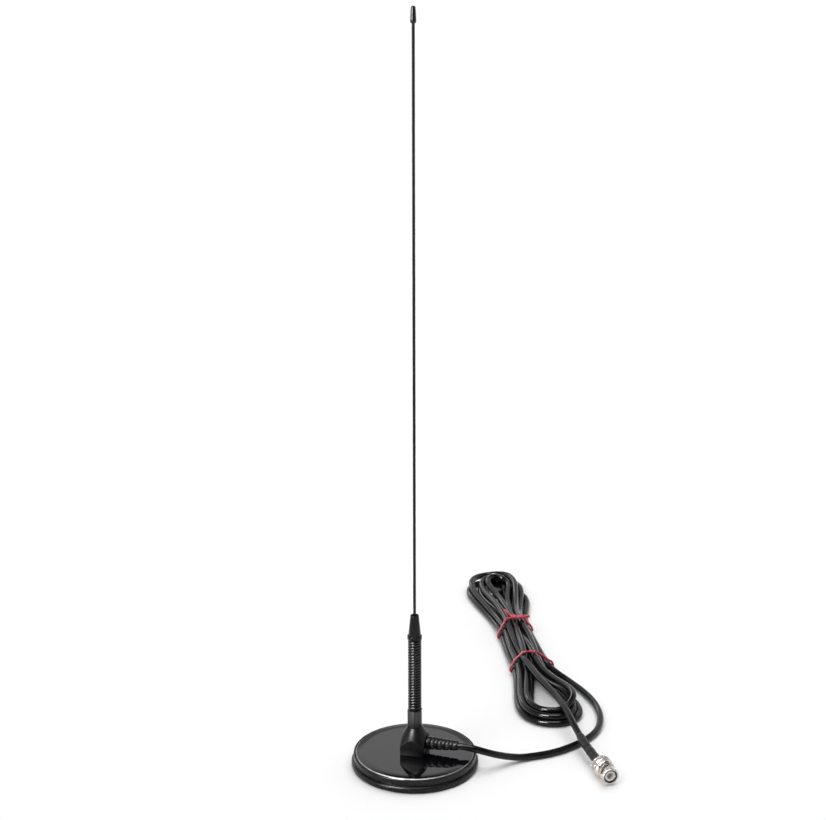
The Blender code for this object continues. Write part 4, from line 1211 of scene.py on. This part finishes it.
def nut_slot(start):
    """The cutter of one of the nut's slots, from this angle in degrees. It runs back along the
    nut, and a little forward again at its narrow end, where a socket's stud locks."""
    radius, taper = 1.4 * MM, 0.3
    top, drop, drop_turn = 15.4 * MM, 3.9 * MM, 0.6 * math.pi
    degrees = 150
    shares = np.linspace(0.0, 1.0, 49)
    middle = (NUT_BORE + NUT_BARREL) / 2
    route = []
    for share in shares:
        turn = math.radians(start - degrees * share)
        along = top - drop * math.sin(drop_turn * share)
        route.append((middle * math.cos(turn), middle * math.sin(turn), along))
    return tube("slot", route, radius * (1 - taper * shares), 16)


def make_nut(nickel):
    """The bayonet nut: knurled grip, smooth ring, and a barrel with two helical slots."""
    grip_rows = [(NUT_GRIP, z) for z in np.linspace(KNURL_TOP, KNURL_FOOT, 26)]
    rings = [
        (NUT_BORE, 9.75 * MM), (NUT_BARREL + 0.1 * MM, 9.75 * MM),
        *mm((-0.35, 9.3), (0, 8.8), (0, 6.3), (-0.35, 5.95), (-0.4, 5.45), at=(NUT_RING, 0)),
        *mm((-0.15, 5.25), (0, 5.05), at=(NUT_GRIP, 0)), *grip_rows,
        *mm((0, 0.45), (-0.45, 0.02), at=(NUT_GRIP, 0)),
        *mm((3.9, 0), (3.25, 0.7), (3.25, 1.5)), (NUT_BORE, 1.5 * MM),
    ]
    barrel = [
        (NUT_BORE + 0.02 * MM, NUT_LENGTH),
        *mm((-0.05, 0), (0.15, -0.25), (0.15, -1.3), (0, -1.55), at=(NUT_BARREL, NUT_LENGTH)),
        (NUT_BARREL, 9.0 * MM), (NUT_BORE + 0.02 * MM, 9.0 * MM),
    ]
    knurled = lathed("nut_rings", rings, 308, closed=True, radius_at=knurl)
    barrel = lathed("nut_barrel", barrel, 90, closed=True)
    slotted = combined(barrel, [nut_slot(75), nut_slot(255)])
    nut = joined([knurled, slotted])
    return on_plug("bayonet_nut", nut, nickel, "plug_nut", "bnc_coupling_nut", 30)


def ring(outer, inner, top, foot):
    """The profile of a plain ring, from sizes in millimetres."""
    return mm((outer, top), (outer, foot), (inner, foot), (inner, top))


def crimped(radius, height, turn):
    """The crimp's six flats, on the tube's outer side only."""
    if radius <= 2.5 * MM:
        return radius
    return radius - 0.12 * MM * math.cos(3 * turn) ** 2


def make_plug(nickel, dark_nickel, white, gold, silicone, steel):
    """The plug's fixed inside: contact sleeve, insulator, pin, gasket, washer and crimp tube."""
    body = mm(
        (3.42, 17.6), (3.85, 17.6), (4.05, 17.25), (4.05, 5.4), (4.6, 5.4), (4.6, 4.0), (2.9, 4.0),
        (2.9, 0.0), (1.65, 0.0), (1.65, -9.0), (0.98, -9.0), (0.98, 5.5), (3.42, 5.5),
    )
    mesh = lathed("contact", filleted(body, 0.15 * MM, 3), 96, closed=True)
    splits = []
    for turn in (math.pi / 4, -math.pi / 4):
        axes = Matrix.Rotation(turn, 4, "Z")
        splits.append(cube("split", (0, 0, 15.6 * MM), (9 * MM, 0.35 * MM, 4.2 * MM), axes))
    contact = on_plug("contact", combined(mesh, splits), dark_nickel, "base", "bnc_body")

    collar = mm(
        (2.35, 17.9), (3.75, 17.9), (3.75, 17.65), (3.1, 17.65),
        (3.1, 5.8), (0.98, 5.8), (0.98, 11.5), (2.35, 11.5),
    )
    mesh = lathed("insulator", filleted(collar, 0.15 * MM, 3), 72, closed=True)
    on_plug("insulator", mesh, white, "base", "bnc_insulator")

    pin = mm(
        (0, 15.2), (0.3, 15.2), (0.5, 14.95), (0.68, 14.4), (0.68, 12.6),
        (0.63, 12.5), (0.63, 12.3), (0.68, 12.2), (0.68, -8.0), (0, -8.0),
    )
    on_plug("pin", lathed("pin", pin, 40), gold, "base", "bnc_centre_pin")

    gasket = filleted(ring(4.8, 4.35, 6.9, 5.7), 0.1 * MM)
    mesh = lathed("gasket", gasket, 72, closed=True)
    on_plug("gasket", mesh, silicone, "base", "bnc_gasket")

    washer = filleted(ring(4.7, 3.2, 2.5, 1.8), 0.1 * MM)
    mesh = lathed("washer", washer, 72, closed=True)
    on_plug("washer", mesh, steel, "plug_washer", "bnc_thrust_washer")

    mesh = lathed("crimp", ring(2.75, 2.0, -0.3, -9.7), 72, closed=True, radius_at=crimped)
    on_plug("crimp", mesh, nickel, "base", "bnc_crimp_ferrule")
    return contact


def main():
    make_camera()
    make_stage()
    rubber = make_rubber()
    plastic = make_housing_plastic()
    chrome = make_black_chrome("black_chrome", 0.2)
    copper = make_plain_metal("tinned_copper", (0.72, 0.66, 0.58), 0.3)
    steel = make_plain_metal("zinc_steel", (0.62, 0.62, 0.61), 0.28)
    brass = make_plain_metal("brass", (0.74, 0.55, 0.24), 0.25)
    white = make_dull("white_insulation", (0.95, 0.94, 0.91), 0.4)
    gold = make_plain_metal("gold_plating", (0.85, 0.63, 0.28), 0.2)
    silicone = make_dull("red_silicone", (0.45, 0.1, 0.07), 0.5)
    ferrite = make_dull("ferrite", (0.07, 0.07, 0.075), 0.65)
    nickel = make_nickel()
    make_boot(rubber)
    make_plate(make_plate_gloss(), make_painted_highlight_edge())
    make_housing(plastic)
    # The relief's core is near-black and matte: painted shade in its slots.
    make_strain_relief(plastic, make_dull("relief_core", (0.004, 0.004, 0.004), 0.8))
    make_lower_ferrule(make_satin_metal())
    make_spring(make_black_chrome("spring_chrome", 0.5), copper)
    make_upper_ferrule(chrome, steel)
    make_whip(make_whip_black(), make_cap_black())
    line = cable_line()
    cable = make_cable(line, make_cable_jacket())
    ties = make_ties(line, make_tie_red())
    sleeve = make_shrink(make_shrink_plastic())
    dark_nickel = make_plain_metal("shaded_nickel", (0.2, 0.17, 0.15), 0.3)
    contact = make_plug(nickel, dark_nickel, white, gold, silicone, steel)
    nut = make_nut(nickel)
    for node, material in (
        ("ring_magnet", ferrite),
        ("bottom_pad", rubber),
        ("housing_screw_front", steel),
        ("housing_screw_rear", steel),
        ("feed_stud", brass),
        ("solder_tag", copper),
        ("coax_dielectric", white),
        ("centre_conductor", copper),
        ("braid_pigtail", copper),
    ):
        paint(node, material)


main()
